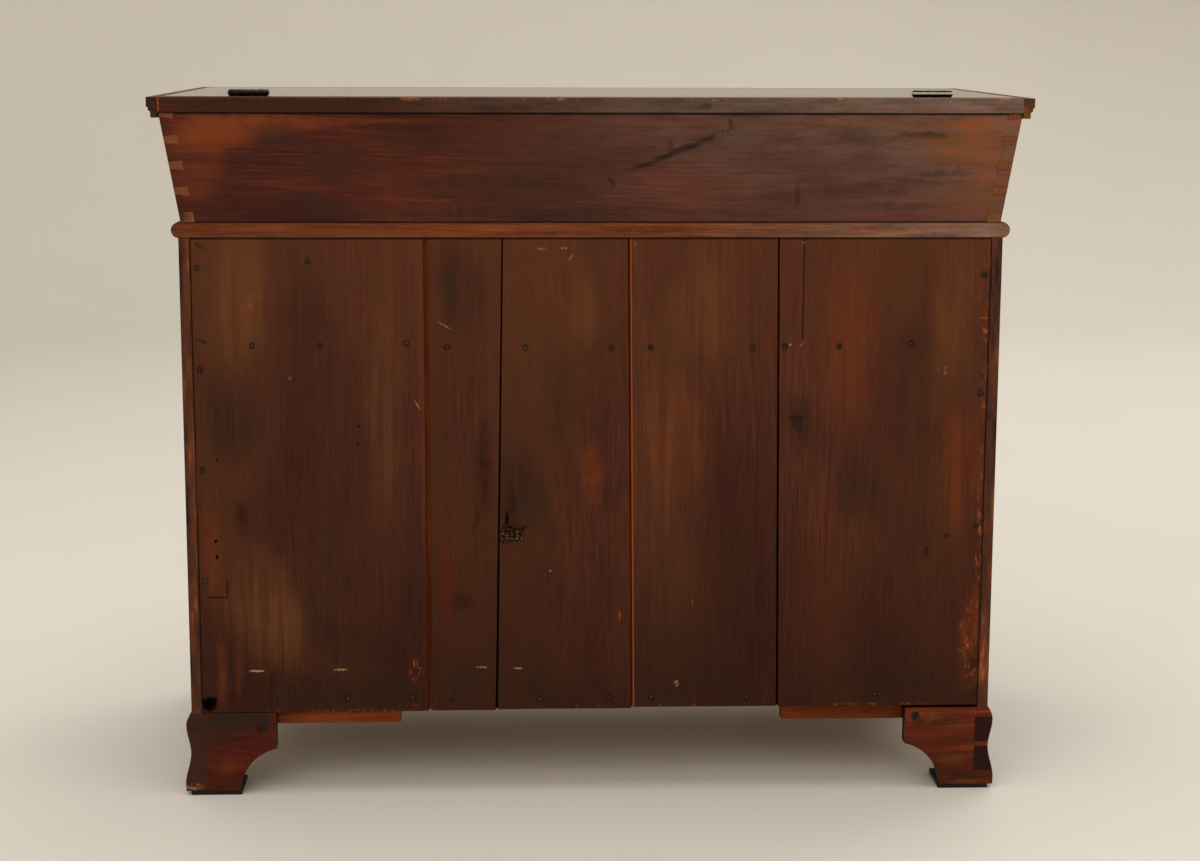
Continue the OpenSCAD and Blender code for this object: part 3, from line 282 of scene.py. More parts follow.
def add_marks(g, base, marks, board):
    """Stains, scratches and bare spots: kind, centre, radii (mm), turn and strength.
    Wide ones are streaky along board's last axis."""
    wobble = g.noise(g.place, scale=60, detail=3)
    broken = g.noise(g.place, scale=420, detail=2)
    clumps = g.remap(g.noise(g.place, scale=38, detail=2), 0.4, 0.62)
    chips = g.noise(g.move(g.place, scale=(260, 260, 130)), detail=4, rough=0.7)
    chipped = g.math("MULTIPLY", g.remap(chips, 0.5, 0.6), clumps)
    shaken = g.shaken(g.place, g.noise(g.place, scale=75, output=1), (SHAKE, SHAKE, SHAKE))
    drift = g.noise(g.move(g.place, scale=(16, 16, 9)), detail=3, output=1)
    far_shaken = g.shaken(shaken, drift, (WIDE_SHAKE, 0, WIDE_SHAKE))
    streaks = g.noise(g.move(board, scale=STREAKS), detail=3, rough=0.6)
    streaks = g.remap(streaks, 0.36, 0.64, 0.55, 1.35)
    uneven, gritty = g.remap(wobble, 0.25, 0.65, 0.35, 1.0), g.remap(broken, 0.42, 0.56, 0.05, 1.0)
    smooth = g.math("MULTIPLY", g.remap(wobble, 0.25, 0.65, 0.75, 1.0), streaks)
    crumbs = g.ramp(g.noise(g.place, scale=330, detail=3, rough=0.6), [
        (0.45, colour(MARK_TONES["soot"])), (0.54, colour("2a1a12")), (0.68, colour("7d6848")),
    ])
    for kind, centre, radii, turn, strength in marks:
        sharp, wide = min(radii) < SHARP, min(radii) > WIDE
        whole = kind in ("hole", "seam", "bright", "rim")
        where = g.place if sharp or whole else far_shaken if wide else shaken
        soft = 0.35 if sharp or whole or kind == "crumbs" else 0.75
        mask = g.spot(where, centre, radii, turn, soft)
        if kind == "flecks":
            mask = g.math("MULTIPLY", mask, chipped)
        elif not whole:
            mask = g.math("MULTIPLY", mask, gritty if sharp else smooth if wide else uneven)
        tone = crumbs if kind == "crumbs" else colour(MARK_TONES[kind])
        base = g.mix(g.math("MULTIPLY", mask, strength), base, tone)
    return base


def painted_sheen(strength, start, low=1.0):
    """Painted sheen: a grey reflection laid on a long piece, growing from start towards -X.
    low is its share on the trough's foot."""
    def tint(g, base):
        x, y, z = g.coordinates()
        patchy = g.noise(g.move(g.place, scale=(16, 16, 90)), detail=6, rough=0.75)
        reach = g.remap(x, start, -0.5, 0, strength, smooth=False)
        reach = g.math("MULTIPLY", reach, g.remap(z, WAIST, RIM, low, 1.0, smooth=False))
        share = g.math("MULTIPLY", reach, g.remap(patchy, 0.32, 0.66, 0.45, 1.1))
        return g.mix(share, base, colour(SHEEN_TONE))

    return tint


# Painted sheen on the trough, the waist and the lid's rail, growing towards -X
TROUGH_SHEEN, WAIST_SHEEN, RAIL_SHEEN = painted_sheen(0.42, 0.2, 0.3), painted_sheen(0.5, -0.1), painted_sheen(0.55, 0.3)


def graded(g, tone, look):
    """The finish's three tones of wood, from dark to light."""
    dark, mid, light = (colour(look[k]) for k in ("dark", "mid", "light"))
    return g.ramp(tone, [(0.15, dark), (0.5, mid), (0.85, light)])


def past_plane(g, base, tone, plane):
    """Another finish past a plane, given as (axis, place, sign, finish). Along X it lies on both sides."""
    axis, place, sign, finish = plane
    where = g.coordinates()[axis]
    if axis == 0:
        where = g.math("ABSOLUTE", where)
    inside = g.math("GREATER_THAN" if sign > 0 else "LESS_THAN", where, place)
    return g.mix(inside, base, graded(g, tone, FINISHES[finish]))


def end_grain(g, base, look, axis):
    """The ends of the fibres: darker, and torn where the finish has colours for them."""
    facing_end = g.vector("DOT_PRODUCT", 1, i0=g.normal, i1=[float(i == axis) for i in range(3)])
    tone, share = colour(look["dark"]), 0.5
    if "end" in look:
        torn = g.noise(g.place, scale=TORN, detail=3, rough=0.7)
        tone = g.ramp(torn, [(0.2, tone), (0.42, colour(look["end"])), (0.8, colour(look["chip"]))])
        share = 0.9
    return g.mix(g.remap(g.math("ABSOLUTE", facing_end), 0.75, 0.95, 0, share), base, tone)


def age_edges(g, base, look, facing):
    """Edges darkened with painted shade, as in the joints between parts, with rubbed spots, and painted shade
    in the corners.
    """
    # Painted shade along the edges, for the dark lines at the joints
    base = g.mix(g.remap(facing, 0.998, 0.9, 0, 0.6), base, colour(EDGE_SHADE))
    rubbed = g.noise(g.place, scale=RUBBED, detail=5, rough=0.7)
    rubbed = g.remap(rubbed, 0.62 - 0.2 * look["wear"], 0.68, 0, look["wear"])
    base = g.mix(g.math("MULTIPLY", g.remap(facing, 0.995, 0.8), rubbed), base, colour(look["worn"]))
    # Painted shade: darker where an inner corner closes in
    open_air = g.add(
        "ShaderNodeAmbientOcclusion", output=1, settings={"samples": EDGE_SAMPLES}, Distance=NOOK
    )
    return g.mix(g.remap(open_air, 0.8, 0.3, 0, 0.75), base, colour(CORNER_SHADE))


def wood(name, finish, axis, seed, marks=(), bare=None, lining=None, tint=None):
    """Wood whose grain runs along an axis, with its marks in mm on the back's plane.
    bare and lining are planes for past_plane, bare below the marks and lining over them."""
    look = FINISHES[finish]
    dark, light, hue = (colour(look[k]) for k in ("dark", "light", "hue"))
    g = Graph(name)
    x, y, z = g.coordinates()
    along = {0: (z, y, x), 1: (x, z, y), 2: (x, y, z)}[axis]
    board = g.add("ShaderNodeCombineXYZ", i0=along[0], i1=along[1], i2=along[2])
    own = g.move(board, shift=(0.37 * seed, 0.11 * seed, 0.53 * seed))
    rings, fibre, pores = grain(g, board, seed)
    cloud = g.noise(g.move(own, scale=CLOUD), detail=4, rough=0.55, distortion=0.3)
    drift = g.noise(g.move(own, scale=DRIFT, shift=(3, 1, 2)), detail=3)

    tone = 0.5
    for pattern, weight in ((rings, 2 * look["rings"]), (fibre, look["fibre"]), (cloud, 1.3 * look["cloud"])):
        lift = g.math("MULTIPLY", g.math("SUBTRACT", pattern, 0.5), weight)
        tone = g.math("ADD", tone, lift, clamp=pattern is cloud)
    base = graded(g, tone, look)
    base = g.mix(g.remap(drift, 0.42, 0.68, 0, 0.7), base, hue)
    base = g.mix(g.remap(pores, 0.54, 0.7, 0, 0.5), base, dark)
    mottle = g.noise(g.place, scale=MOTTLE, detail=5, rough=0.8)
    base = g.mix(g.remap(mottle, 0.52, 0.7, 0, 0.4), base, dark)
    base = g.mix(g.remap(mottle, 0.46, 0.3, 0, 0.25), base, light)
    if tint:
        base = tint(g, base)
    base = end_grain(g, base, look, axis)
    rounded, facing = g.arris(WOOD_ARRIS)
    base = age_edges(g, base, look, facing)
    if bare:
        base = past_plane(g, base, tone, bare)
    if marks:
        base = add_marks(g, base, marks, board)
    if lining:
        base = past_plane(g, base, tone, lining)

    roughness = g.remap(cloud, 0.3, 0.7, look["rough"] - 0.06, look["rough"] + 0.1, smooth=False)
    height = g.math("ADD", g.math("MULTIPLY", fibre, 0.6), g.math("MULTIPLY", pores, 0.4))
    normal = g.add("ShaderNodeBump", Strength=BUMP, Distance=WOOD_RELIEF, Height=height, Normal=rounded)
    return g.finish(
        base, roughness, normal,
        Coat_Weight=look["coat"], Coat_Roughness=0.15, Specular_IOR_Level=look["shine"],
    )


def metal(name, tone, shine, roughness, patina, metallic=0.9, marks=(), painted_highlight=None, gloss=0.5):
    """Metal with patches of patina. The argument after marks, if given, is (height, half width, colour) of a
    bright band painted on as a highlight.
    """
    g = Graph(name)
    blotch = g.noise(g.place, scale=BLOTCH, detail=4, rough=0.6)
    base = g.mix(g.remap(blotch, 0.38, 0.62), colour(tone), colour(patina))
    # A bright band painted on as a highlight
    if painted_highlight:
        height, half_width, bright = painted_highlight
        away = g.math("ABSOLUTE", g.math("SUBTRACT", g.coordinates()[2], height))
        base = g.mix(g.remap(away, half_width, 0.6 * half_width), base, colour(bright))
    if marks:
        base = add_marks(g, base, marks, g.place)
    rounded, facing = g.arris(METAL_ARRIS)
    base = g.mix(g.remap(facing, 0.99, 0.8, 0, 0.6), base, colour(shine))
    normal = g.add("ShaderNodeBump", Strength=BUMP, Distance=METAL_RELIEF, Height=blotch, Normal=rounded)
    return g.finish(
        base, g.remap(blotch, 0.3, 0.7, roughness, roughness + 0.2), normal,
        Metallic=metallic, Specular_IOR_Level=gloss,
    )


# Which solid of a node each face belongs to


def solids_of(obj):
    """Each separate solid in a node's mesh, as its lowest corner, its highest corner and its faces."""
    mesh = obj.data
    keys = {}
    vert_key = [
        keys.setdefault(tuple(round(c / WELD) for c in v.co), len(keys)) for v in mesh.vertices
    ]
    parent = list(range(len(keys)))

    def root(k):
        while parent[k] != k:
            parent[k] = parent[parent[k]]
            k = parent[k]
        return k

    for face in mesh.polygons:
        first = root(vert_key[face.vertices[0]])
        for v in face.vertices[1:]:
            parent[root(vert_key[v])] = first
    groups = {}
    for face in mesh.polygons:
        groups.setdefault(root(vert_key[face.vertices[0]]), []).append(face.index)
    found = []
    for faces in groups.values():
        points = [mesh.vertices[v].co for f in faces for v in mesh.polygons[f].vertices]
        low = Vector(min(p[i] for p in points) for i in range(3))
        high = Vector(max(p[i] for p in points) for i in range(3))
        found.append((low, high, faces))
    return sorted(found, key=lambda s: tuple(round(c, 4) for c in s[0]))


def paint(node, materials):
    """Gives each solid of a CAD node its own material, in the order of solids_of."""
    mesh = NODES[node].data
    mesh.materials.clear()
    for k, (material, (low, high, faces)) in enumerate(zip(materials, solids_of(NODES[node]))):
        mesh.materials.append(material)
        for f in faces:
            mesh.polygons[f].material_index = k


def longest(low, high):
    """The axis along which a solid is longest."""
    size = high - low
    return max(range(3), key=lambda i: size[i])


stock = {}


def timber(finish, axis, seed, bare=None, tint=None):
    """A shared wood material, made once for each finish, grain direction and seed."""
    key = (finish, axis, seed, bare, tint)
    if key not in stock:
        name = f"{finish}_wood_{'xyz'[axis]}_{len(stock)}"
        stock[key] = wood(name, finish, axis, seed, bare=bare, tint=tint)
    return stock[key]


def timber_node(node, finish, bare=None, axis=None, variety=3, tint=None):
    """Each solid of a node in the wood of its finish, with the grain along its longest side.
    variety is how many different boards its solids are cut from."""
    offset = sum(map(ord, node)) % 7
    paint(node, [
        timber(finish, longest(low, high) if axis is None else axis, offset + k % variety, bare, tint)
        for k, (low, high, faces) in enumerate(solids_of(NODES[node]))
    ])


# The back: boards, nails and their stains

nails = [
    ((low.x + high.x) / 2 / MM, (low.z + high.z) / 2 / MM)
    for low, high, faces in solids_of(NODES["back_nails"])
]

# Marks: kind, centre (mm along X and Z), radii (mm), turn (degrees) and strength. A dark line
# of painted shadow along a joint is WHOLE_LENGTH long.
WHOLE_LENGTH = 2000
BOARD_MARKS = {
    1: [
        ("stain", (472, 500), (55, 90), 0, 0.6), ("stain", (362, 600), (45, 160), 0, 0.35),
        ("stain", (350, 300), (60, 210), 3, 0.35), ("dark", (455, 374), (14, 34), 0, 0.55),
        ("light", (452, 660), (60, 120), 0, 0.5), ("light", (268, 540), (40, 240), 0, 0.3),
        ("light", (446, 265), (70, 130), -16, 0.4), ("light", (405, 225), (50, 80), -24, 0.3),
        ("stain", (330, 215), (80, 40), 0, 0.4), ("warm", (495, 330), (20, 110), 0, 0.45),
        ("dark", (503, 128), (16, 13), 0, 0.9), ("hole", (502, 124), (11, 12), 0, 1.0),
        ("hole", (496, 130), (7, 4.5), 20, 0.9), ("soot", (488, 343), (2.2, 3.8), 15, 1.0),
        ("soot", (487, 322), (2.2, 4.4), 15, 1.0), ("soot", (301, 493), (1.6, 2.2), 0, 0.9),
        ("soot", (303, 471), (1.6, 2.0), 0, 0.9), ("soot", (484, 450), (1.8, 2.6), 0, 0.9),
        ("seam", (475, 280), (1.9, 17), 0, 0.65), ("seam", (488, 268), (16, 2), 0, 0.65),
        ("warm", (220, 560), (6, 330), 0, 0.3), ("dark", (499, 726), (10, 3.2), 30, 0.8),
        ("dark", (500, 605), (10, 3), 30, 0.7), ("raw", (388, 556), (2.6, 4), 0, 0.5),
        ("raw", (436, 650), (5, 7), 0, 0.35), ("pale", (439, 169), (12, 1.8), 0, 0.9),
        ("pale", (330, 170), (11, 1.7), 0, 0.9), ("pale", (226, 521), (1.6, 8), -30, 0.35),
        ("flecks", (231, 162), (12, 54), 0, 1.0), ("stain", (320, 140), (150, 30), 0, 0.6),
        ("raw", (511, 424), (1.6, 60), 0, 0.5), ("soot", (420, 150), (4, 26), 10, 0.35),
        ("flecks", (360, 114), (170, 3.5), 0, 0.35), ("flecks", (480, 150), (26, 40), 0, 0.15),
        ("warm", (484, 170), (9, 70), 0, 0.4), ("warm", (462, 165), (6, 60), 3, 0.3),
    ],
    2: [
        ("stain", (175, 672), (44, 90), 0, 0.55), ("dark", (140, 440), (16, 90), 0, 0.55),
        ("dark", (150, 372), (6, 26), 10, 0.55), ("pale", (189, 623), (14, 1.5), 31, 0.35),
        ("dark", (172, 262), (22, 22), 0, 0.45), ("soot", (166, 258), (3, 4), 0, 0.6),
        ("stain", (165, 160), (40, 45), 0, 0.5), ("pale", (146, 172), (9, 1.6), 5, 0.7),
        ("red", (190, 300), (14, 160), 0, 0.4),
    ],
    3: [
        ("stain", (88, 420), (40, 80), -10, 0.6), ("dark", (108, 380), (16, 42), 0, 0.6),
        ("crumbs", (106, 349), (21, 14), 12, 0.95), ("soot", (111, 368), (3, 14), 0, 1.0),
        ("soot", (106, 357), (13, 5.5), 8, 0.8), ("soot", (92, 361), (16, 2), 10, 0.8),
        ("stain", (40, 520), (26, 80), 0, 0.4), ("light", (12, 650), (26, 80), 0, 0.35),
        ("warm", (0, 430), (22, 60), 0, 0.5), ("pale", (66, 722), (10, 1.6), -3, 0.4),
        ("pale", (37, 723), (5, 1.8), 0, 0.5), ("pale", (28, 712), (1.4, 9), 30, 0.35),
        ("soot", (20, 386), (1.6, 1.4), 0, 0.8), ("pale", (55, 301), (1.5, 1.8), 0, 0.8),
        ("stain", (40, 140), (110, 28), 0, 0.45), ("pale", (98, 170), (7, 1.6), 0, 0.7),
        ("flecks", (20, 117), (66, 3.2), 0, 0.6), ("raw", (-36, 240), (2, 9), 0, 0.7),
    ],
    4: [
        ("light", (-140, 640), (60, 90), 0, 0.35), ("warm", (-110, 470), (60, 110), 0, 0.3),
        ("light", (-90, 430), (80, 300), 0, 0.3), ("stain", (-100, 230), (70, 90), 0, 0.15),
        ("pale", (-111, 148), (4.6, 5.2), 0, 0.75), ("raw", (-131, 258), (1.3, 5), 0, 0.6),
        ("stain", (-140, 140), (100, 30), 0, 0.5), ("soot", (-150, 172), (2.4, 2), 0, 0.5),
        ("pale", (-54, 728), (4, 1.6), 60, 0.5), ("rim", (-51, 420), (1.5, 1400), -0.63, 0.8),
        ("flecks", (-100, 118), (60, 3.2), 0, 0.5),
    ],
    5: [
        ("dark", (-265, 497), (11, 15), 0, 0.8), ("soot", (-265, 503), (14, 2.6), 4, 0.8),
        ("soot", (-268, 486), (2.2, 14), 0, 0.7), ("stain", (-266, 500), (26, 46), 0, 0.45),
        ("stain", (-412, 600), (32, 60), 0, 0.35), ("stain", (-428, 560), (14, 200), 0, 0.4),
        ("stain", (-345, 405), (60, 60), 0, 0.5), ("stain", (-400, 560), (20, 90), 0, 0.3),
        ("warm", (-330, 600), (50, 160), 0, 0.35), ("light", (-470, 650), (36, 130), 0, 0.35),
        ("warm", (-480, 430), (40, 130), 0, 0.45), ("pale", (-254, 598), (2, 1.8), 0, 0.9),
        ("raw", (-270, 599), (1.5, 8), 50, 0.7), ("raw", (-458, 568), (3.4, 2), 0, 0.85),
        ("raw", (-456, 562), (2, 4.5), 0, 0.8), ("raw", (-447, 566), (1.4, 3), 0, 0.7),
        ("flecks", (-508, 700), (6, 40), 0, 0.9), ("raw", (-506, 632), (7, 1.8), 0, 0.6),
        ("dark", (-438, 324), (4, 9), 0, 0.7), ("dark", (-464, 345), (5, 4), 0, 0.8),
        ("warm", (-498, 205), (26, 90), 6, 0.6), ("flecks", (-498, 205), (26, 80), 6, 0.8),
        ("flecks", (-508, 330), (8, 150), 0, 0.7), ("flecks", (-508, 560), (7, 240), 0, 0.8),
        ("dark", (-505, 172), (11, 44), 8, 0.75), ("flecks", (-380, 116), (150, 4), 0, 0.4),
        ("stain", (-380, 150), (130, 40), 0, 0.4), ("red", (-300, 300), (40, 160), 0, 0.18),
        ("pale", (-270, 730), (4, 1.6), 0, 0.5),
    ],
}
NAIL_KIND, NAIL_RADII, NAIL_STRENGTH = "dark", (6.5, 8), 0.65
# What shows in the open seam at each board's lap: raw wood, or a near-black finish painted as the shade where
# the seam lies in shadow
LAP = {1: "raw", 2: "soot", 3: "raw", 4: "soot", 5: "soot"}
# Depths behind the rear plane where a board's lap and its inner face begin, and of the sides' edges
LAP_DEPTH, INNER_DEPTH, EDGE_DEPTH = 6 * MM, 15.5 * MM, 0.6 * MM


def painted_light_and_shade_by_height(g, base):
    """Painted light and shade: the back is lighter just under the waist and darker towards the floor, as lit
    from above.
    """
    z = g.coordinates()[2]
    base = g.mix(g.remap(z, WAIST - 0.3, WAIST, 0.0, 0.3), base, colour("64381f"))
    return g.mix(g.remap(z, CASE_FLOOR - 0.1, WAIST - 0.2, 0.58, 0.0), base, colour("22110b"))


def painted_joint_shadow(z, height, strength):
    """A dark line of painted shadow along a level joint."""
    return ("seam", (0, z / MM), (WHOLE_LENGTH, height), 0, strength)


for k in BOARD_MARKS:
    node = f"back_board_{k}"
    low, high = (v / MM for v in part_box(node))
    marks = [*BOARD_MARKS[k], painted_joint_shadow(WAIST, 2.4, 0.8)]
    if k in (1, 5):
        # A dark line of painted shadow along the joint at the board's outer edge
        outer_edge = high.x if k == 1 else low.x
        marks.append(("seam", (outer_edge, 420), (2, WHOLE_LENGTH), 0, 0.75))
    marks += [(NAIL_KIND, at, NAIL_RADII, 0, NAIL_STRENGTH) for at in nails if low.x < at[0] < high.x]
    # Each board also gets painted light and shade by height
    paint(node, [wood(
        f"back_board_wood_{k}", "back", 2, 3.1 * k, marks,
        bare=(1, REAR - LAP_DEPTH, -1, LAP[k]),
        lining=(1, REAR - INNER_DEPTH, -1, "inner"),
        tint=painted_light_and_shade_by_height,
    )])


def rear_edge(g, base):
    """The sides' rear edges are darker than their faces, rubbed and stained in places."""
    strip = g.math("GREATER_THAN", g.coordinates()[1], REAR - EDGE_DEPTH)
    streak = g.noise(g.move(g.place, scale=(60, 1, 9)), detail=4, rough=0.7)
    tone = g.ramp(streak, [
        (0.36, colour("140d0c")), (0.46, colour("3f2115")), (0.6, colour("5c2f18")), (0.7, colour("9a5022")),
    ])
    return g.mix(strip, base, tone)


# The trough, the waist, the lid and its rail

TROUGH_MARKS = [
    ("raw", (440, 878), (110, 22), 0, 0.5), ("warm", (480, 865), (90, 34), 0, 0.85),
    ("warm", (500, 820), (60, 60), 0, 0.5), ("warm", (330, 883), (200, 6), 0, 0.6),
    ("stain", (400, 868), (50, 22), 0, 0.75), ("stain", (330, 835), (90, 30), 0, 0.5),
    ("stain", (230, 865), (90, 24), 0, 0.6), ("stain", (350, 782), (70, 18), 4, 0.6),
    ("stain", (140, 815), (190, 60), 0, 0.55), ("stain", (60, 765), (60, 10), 0, 0.5),
    ("red", (60, 776), (50, 3.5), 0, 0.4), ("dark", (-95, 841), (66, 5.4), -24, 0.9),
    ("dark", (-140, 858), (52, 5.2), -25, 0.85), ("dark", (-174, 880), (4, 10), -20, 0.8),
    ("soot", (-55, 826), (34, 5), -20, 0.35), ("dark", (-22, 808), (5, 12), -25, 0.6),
    ("dark", (-97, 852), (7, 12), 0, 0.5), ("dark", (-260, 789), (5, 23), 0, 0.8),
    ("raw", (-160, 867), (12, 1.6), -28, 0.5), ("soot", (-519, 832), (0.9, 34), 10, 0.6),
    ("stain", (-330, 868), (60, 16), 0, 0.5), ("stain", (-380, 800), (80, 16), 0, 0.5),
    ("light", (-300, 880), (260, 18), 0, 0.35), ("light", (-470, 862), (110, 40), 0, 0.8),
    ("raw", (-500, 880), (80, 12), 0, 0.4), ("raw", (-460, 846), (80, 7), 0, 0.3),
    ("light", (-490, 800), (60, 44), 0, 0.6), ("raw", (-500, 812), (40, 14), 0, 0.25),
    ("soot", (-466, 828), (0.8, 8), 0, 0.8), ("stain", (-420, 866), (50, 7), 0, 0.8),
    ("stain", (-440, 818), (60, 7), 0, 0.5), ("stain", (-390, 775), (60, 9), 0, 0.45),
    ("stain", (-300, 820), (120, 40), 0, 0.25), ("raw", (-300, 886), (14, 2), 0, 0.6),
    ("warm", (176, 772), (6, 9), 0, 0.6), ("soot", (-468, 808), (2, 2), 0, 0.7),
    ("stain", (100, 768), (420, 14), 0, 0.6), ("raw", (-505, 850), (34, 40), 0, 0.2),
    painted_joint_shadow(WELL, 2, 0.8), painted_joint_shadow(RIM, 2.4, 0.8),
]
SIDE_MARKS = [
    ("warm", (550, 897), (16, 10), 0, 0.9), ("stain", (545, 868), (13, 10), 0, 0.8),
    ("light", (548, 860), (8, 5), 0, 0.6), ("light", (537, 831), (12, 9), 0, 0.3),
    ("warm", (530, 797), (14, 10), 0, 0.45), ("stain", (524, 764), (18, 12), 0, 0.85),
]
WAIST_MARKS = [
    painted_joint_shadow(WAIST, 1.6, 0.7), painted_joint_shadow(WELL, 1.8, 0.7), ("stain", (420, 741), (90, 6), 0, 0.5),
    ("dark", (250, 750), (110, 5), 0, 0.35), ("light", (300, 745), (120, 6), 0, 0.3),
    ("dark", (60, 742), (100, 5), 0, 0.4), ("stain", (-60, 750), (90, 6), 0, 0.4),
    ("dark", (-60, 744), (190, 7), 0, 0.3), ("dark", (-90, 745), (90, 8), 0, 0.25),
    ("stain", (-240, 741), (110, 6), 0, 0.4), ("dark", (-380, 749), (100, 5), 0, 0.4),
    ("dark", (-440, 739), (70, 5), 0, 0.5),
]
RAIL_MARKS = [
    ("raw", (230, 911), (15, 3.4), 0, 0.6), ("raw", (40, 911), (8, 3), 0, 0.5),
    ("raw", (-522, 911), (10, 3.4), 0, 0.9), ("raw", (546, 905), (1.8, 14), 0, 0.9),
    ("stain", (400, 905), (180, 6), 0, 0.6), ("stain", (-141, 903), (14, 6), 0, 0.7),
    ("stain", (120, 900), (80, 6), 0, 0.6), ("pale", (-312, 912), (4, 1.5), 0, 0.7),
    ("pale", (-153, 910), (4, 1.5), 0, 0.6), painted_joint_shadow(RIM, 1.6, 0.7),
    ("grey", (-400, 903), (120, 6), 0, 0.35), ("flecks", (0, 911), (540, 3), 0, 0.3),
]
RAIL_END_MARKS = [("light", (-553, 892), (22, 30), 0, 0.85)]

paint("trough_back", [wood("trough_back_wood", "trough", 0, 2.0, TROUGH_MARKS, tint=TROUGH_SHEEN)])
timber_node("trough_front", "trough")
timber_node("trough_side_left", "dovetail", axis=1)
paint("trough_side_right", [wood("trough_side_wood_right", "dovetail", 1, 5, SIDE_MARKS)])
paint("waist_board", [wood("waist_board_wood", "waist", 0, 5.2, WAIST_MARKS, tint=WAIST_SHEEN)])
timber_node("lid_board", "lid")
paint("lid_rail", [wood("lid_rail_wood", "rail", 0, 4.4, RAIL_MARKS, tint=RAIL_SHEEN)])
timber_node("lid_front_moulding", "rail")
timber_node("lid_side_mouldings", "rail")
paint("rail_mouldings", [
    wood("rail_moulding_wood_right", "end_rail", 1, 1.3, RAIL_END_MARKS),
    wood("rail_moulding_wood_left", "end_rail", 1, 2.6),
])

# The case, its feet and its front

FOOT_MARKS = {
    "foot_rear_right": [
        ("stain", (470, 100), (90, 26), 0, 1.0), ("stain", (500, 70), (40, 30), 10, 0.6),
        ("red", (478, 62), (28, 12), 8, 0.8), ("red", (455, 52), (30, 10), -12, 0.8),
        ("warm", (480, 40), (34, 14), 0, 0.5), ("dark", (462, 78), (40, 3), -8, 0.6),
        ("dark", (470, 58), (34, 2.4), 6, 0.6), ("dark", (480, 45), (30, 2), -6, 0.6),
        ("dark", (470, 66), (30, 2.2), 4, 0.5), ("flecks", (526, 12), (26, 8), 0, 1.0),
        ("pale", (528, 10), (16, 3), 0, 0.5), ("dark", (436, 92), (11, 11), 0, 0.8),
    ],
    "foot_rear_left": [
        ("light", (-440, 100), (40, 9), 0, 0.5), ("stain", (-470, 92), (30, 10), 0, 0.6),
        ("red", (-450, 60), (50, 8), 0, 0.7), ("light", (-480, 40), (30, 12), 0, 0.35),
        ("dark", (-434, 92), (11, 11), 0, 0.6), ("light", (-500, 10), (40, 5), 0, 0.5),
        ("stain", (-485, 20), (40, 10), 0, 0.5),
    ],
}

# Planes past which the sides and the face frame are bare wood
WITHIN_SIDES = (0, CASE_WALL + 1 * MM, -1, "inner")
BEHIND_FRAME = (1, FRAME_REAR - 1 * MM, 1, "inner")

for node in ("side_panel_left", "side_panel_right"):
    timber_node(node, "case", bare=WITHIN_SIDES, tint=rear_edge)
for node in ("front_stiles", "centre_stile", "top_rail", "drawer_rail", "bottom_rail"):
    timber_node(node, "case", bare=BEHIND_FRAME)
timber_node("drawer_divider", "case", bare=BEHIND_FRAME, axis=2)
for node in ("foot_rear_left", "foot_rear_right", "foot_front_left", "foot_front_right"):
    finish = "bright_foot" if node == "foot_rear_left" else "foot"
    materials = []
    for k, (low, high, faces) in enumerate(solids_of(NODES[node])):
        axis = int(high.y - low.y > high.x - low.x)
        seed = 2.7 * k + len(node)
        materials.append(wood(f"{node}_wood_{k}", finish, axis, seed, FOOT_MARKS.get(node, ())))
    paint(node, materials)
for node in (
    "case_bottom", "shelf", "shelf_cleats", "door_stop", "rear_rail", "rear_top_cleat", "drawer_runners",
    "drawer_guides", "corner_blocks",
):
    timber_node(node, "inner")
timber_node("lid_battens", "case")
paint("foot_cleats", [
    wood("foot_cleat_wood_right", "raw", 0, 1.7, [("stain", (-340, 100), (170, 30), 0, 0.45)]),
    wood("foot_cleat_wood_left", "raw", 0, 3.4, [("stain", (400, 100), (170, 30), 0, 0.5)]),
])
timber_node("foot_pads", "pad")
for side in ("left", "right"):
    timber_node(f"drawer_{side}_front", "front")
    timber_node(f"drawer_{side}_box", "inner")
    timber_node(f"drawer_{side}_bottom", "inner")
    timber_node(f"drawer_{side}_knob", "front")
    timber_node(f"door_{side}_frame", "front")
    timber_node(f"door_{side}_panel", "front", axis=2)
    timber_node(f"door_{side}_knob", "front")

# Hinges, nails and screws

bronze = metal("dark_bronze", "4a3b2d", "9a8568", 0.3, "1c1612")
# Bronze with a painted highlight: a near-white band along the hinge knuckle at HINGE_PIN
bronze_with_painted_highlight = metal(
    "bronze_with_painted_highlight", "382d24", "33291f", 0.3, "1c1612", painted_highlight=(HINGE_PIN, 1.6 * MM, "e6dccb")
)
# Each nail head gets a painted glint, a bright spot at its centre
iron = metal(
    "nail_iron", "241a13", "33271d", 0.7, "17100b", metallic=0.0, gloss=0.15,
    marks=[("bright", at, (1.4, 1.4), 0, 0.15 + 0.12 * (k % 5)) for k, at in enumerate(nails)],
)
steel = metal("screw_steel", "3a312b", "82766c", 0.4, "241e1a")
for node, material in (
    ("door_hinge_fixed", bronze), ("door_left_hinges", bronze), ("door_right_hinges", bronze),
    ("back_nails", iron), ("foot_screws", steel),
):
    NODES[node].data.materials.clear()
    NODES[node].data.materials.append(material)
for node in ("lid_hinge_fixed", "lid_hinge_moving"):
    paint(node, [bronze_with_painted_highlight if low.x < 0 else bronze for low, high, faces in solids_of(NODES[node])])

# Floor and backdrop


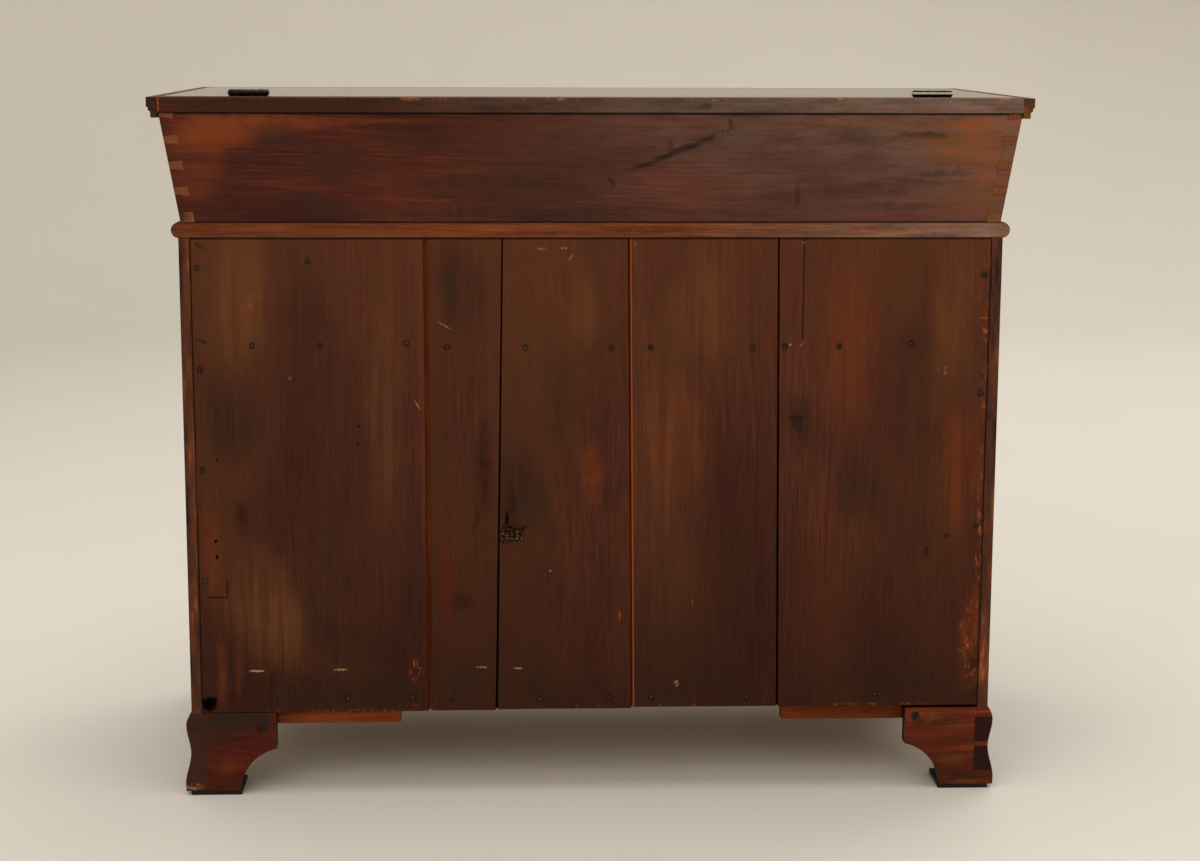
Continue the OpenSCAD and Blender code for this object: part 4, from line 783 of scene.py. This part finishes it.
def round_sweep(name, radius, bend, height, steps=12, sides=96):
    """A round floor that bends up into a wall, the same from every side."""
    path = [(0.001, 0.0), (radius - bend, 0.0)]
    for k in range(1, steps + 1):
        a = math.pi / 2 * k / steps
        path.append((radius - bend + bend * math.sin(a), bend - bend * math.cos(a)))
    path.append((radius, height))
    angles = [2 * math.pi * s / sides for s in range(sides)]
    verts = [(r * math.cos(a), r * math.sin(a), z) for r, z in path for a in angles]
    faces = []
    for k in range(len(path) - 1):
        for s in range(sides):
            a, b = k * sides + s, k * sides + (s + 1) % sides
            faces.append((a, a + sides, b + sides, b))
    mesh = bpy.data.meshes.new(name)
    mesh.from_pydata(verts, [], faces)
    mesh.polygons.foreach_set("use_smooth", [True] * len(faces))
    obj = bpy.data.objects.new(name, mesh)
    bpy.context.scene.collection.objects.link(obj)
    return obj


backdrop = round_sweep("studio_sweep", radius=6.5, bend=1.8, height=5.0)
g = Graph("studio_paper")
speck = g.noise(g.place, scale=3, detail=2)
paper = g.mix(speck, colour("ddd6c9"), colour("e1dace"))
backdrop.data.materials.append(g.finish(paper, 0.95, Specular_IOR_Level=0.1))
# A view of an open pose stands outside the sweep, so the camera sees through its outer side
surface = g.tree.nodes["Material Output"].inputs["Surface"]
outer_side = g.add("ShaderNodeNewGeometry").node.outputs["Backfacing"]
seen_from_outside = g.math("MULTIPLY", g.add("ShaderNodeLightPath"), outer_side)
clear = g.add("ShaderNodeBsdfTransparent")
opening = g.add("ShaderNodeMixShader", i0=seen_from_outside, i1=surface.links[0].from_socket, i2=clear)
g.tree.links.new(opening, surface)

# Light


def lamp(name, place, target, size, power, mirrored=False):
    """A soft lamp. Unless mirrored, the lid's polish shows the backdrop and not the lamp."""
    data = bpy.data.lights.new(name, "AREA")
    data.shape, data.size, data.size_y = "RECTANGLE", *size
    data.energy = power
    obj = bpy.data.objects.new(name, data)
    obj.location = place
    obj.rotation_euler = (Vector(target) - Vector(place)).to_track_quat("-Z", "Y").to_euler()
    obj.visible_glossy = mirrored
    bpy.context.scene.collection.objects.link(obj)


lamp("ceiling", place=(0.0, 0.0, 4.2), target=(0, 0, 0), size=(4.0, 4.0), power=88, mirrored=True)
lamp("camera_side", place=(1.4, 4.4, 3.4), target=(0, 0.2, 0.5), size=(5.0, 3.2), power=100)
lamp("window", place=(-2.4, 3.8, 1.2), target=(-0.3, 0.27, 0.8), size=(3.2, 2.1), power=28)
lamp("front_side", place=(-2.6, -4.0, 3.6), target=(0, -0.2, 0.5), size=(5.0, 3.2), power=94)

world = bpy.data.worlds.new("studio")
bpy.context.scene.world = world
world.use_nodes = True
background = world.node_tree.nodes["Background"]
background.inputs["Color"].default_value = (1.0, 0.98, 0.95, 1)
background.inputs["Strength"].default_value = 0.4

# Camera, fitted to the photograph: place in metres, angles in degrees, lens and sensor in mm

CAMERA_PLACE = (0.10313, 3.19956, 0.99352)
PITCH, YAW, ROLL = (math.radians(a) for a in (9.798, -2.196, 0.165))
LENS, SENSOR = 69.13, 36

forward = Vector((math.sin(YAW) * math.cos(PITCH), -math.cos(YAW) * math.cos(PITCH), -math.sin(PITCH)))
right = forward.cross(Vector((0, 0, 1))).normalized()
up = right.cross(forward)
turned_right = math.cos(ROLL) * right + math.sin(ROLL) * up
turned_up = math.cos(ROLL) * up - math.sin(ROLL) * right
camera = bpy.data.objects.new("camera", bpy.data.cameras.new("camera"))
camera.data.sensor_width, camera.data.lens = SENSOR, LENS
camera.data.clip_start, camera.data.clip_end = 0.05, 60
turn = Matrix((turned_right, turned_up, -forward)).transposed()
camera.matrix_world = Matrix.Translation(CAMERA_PLACE) @ turn.to_4x4()
bpy.context.scene.collection.objects.link(camera)
bpy.context.scene.camera = camera
bpy.context.scene.view_settings.view_transform = "Standard"
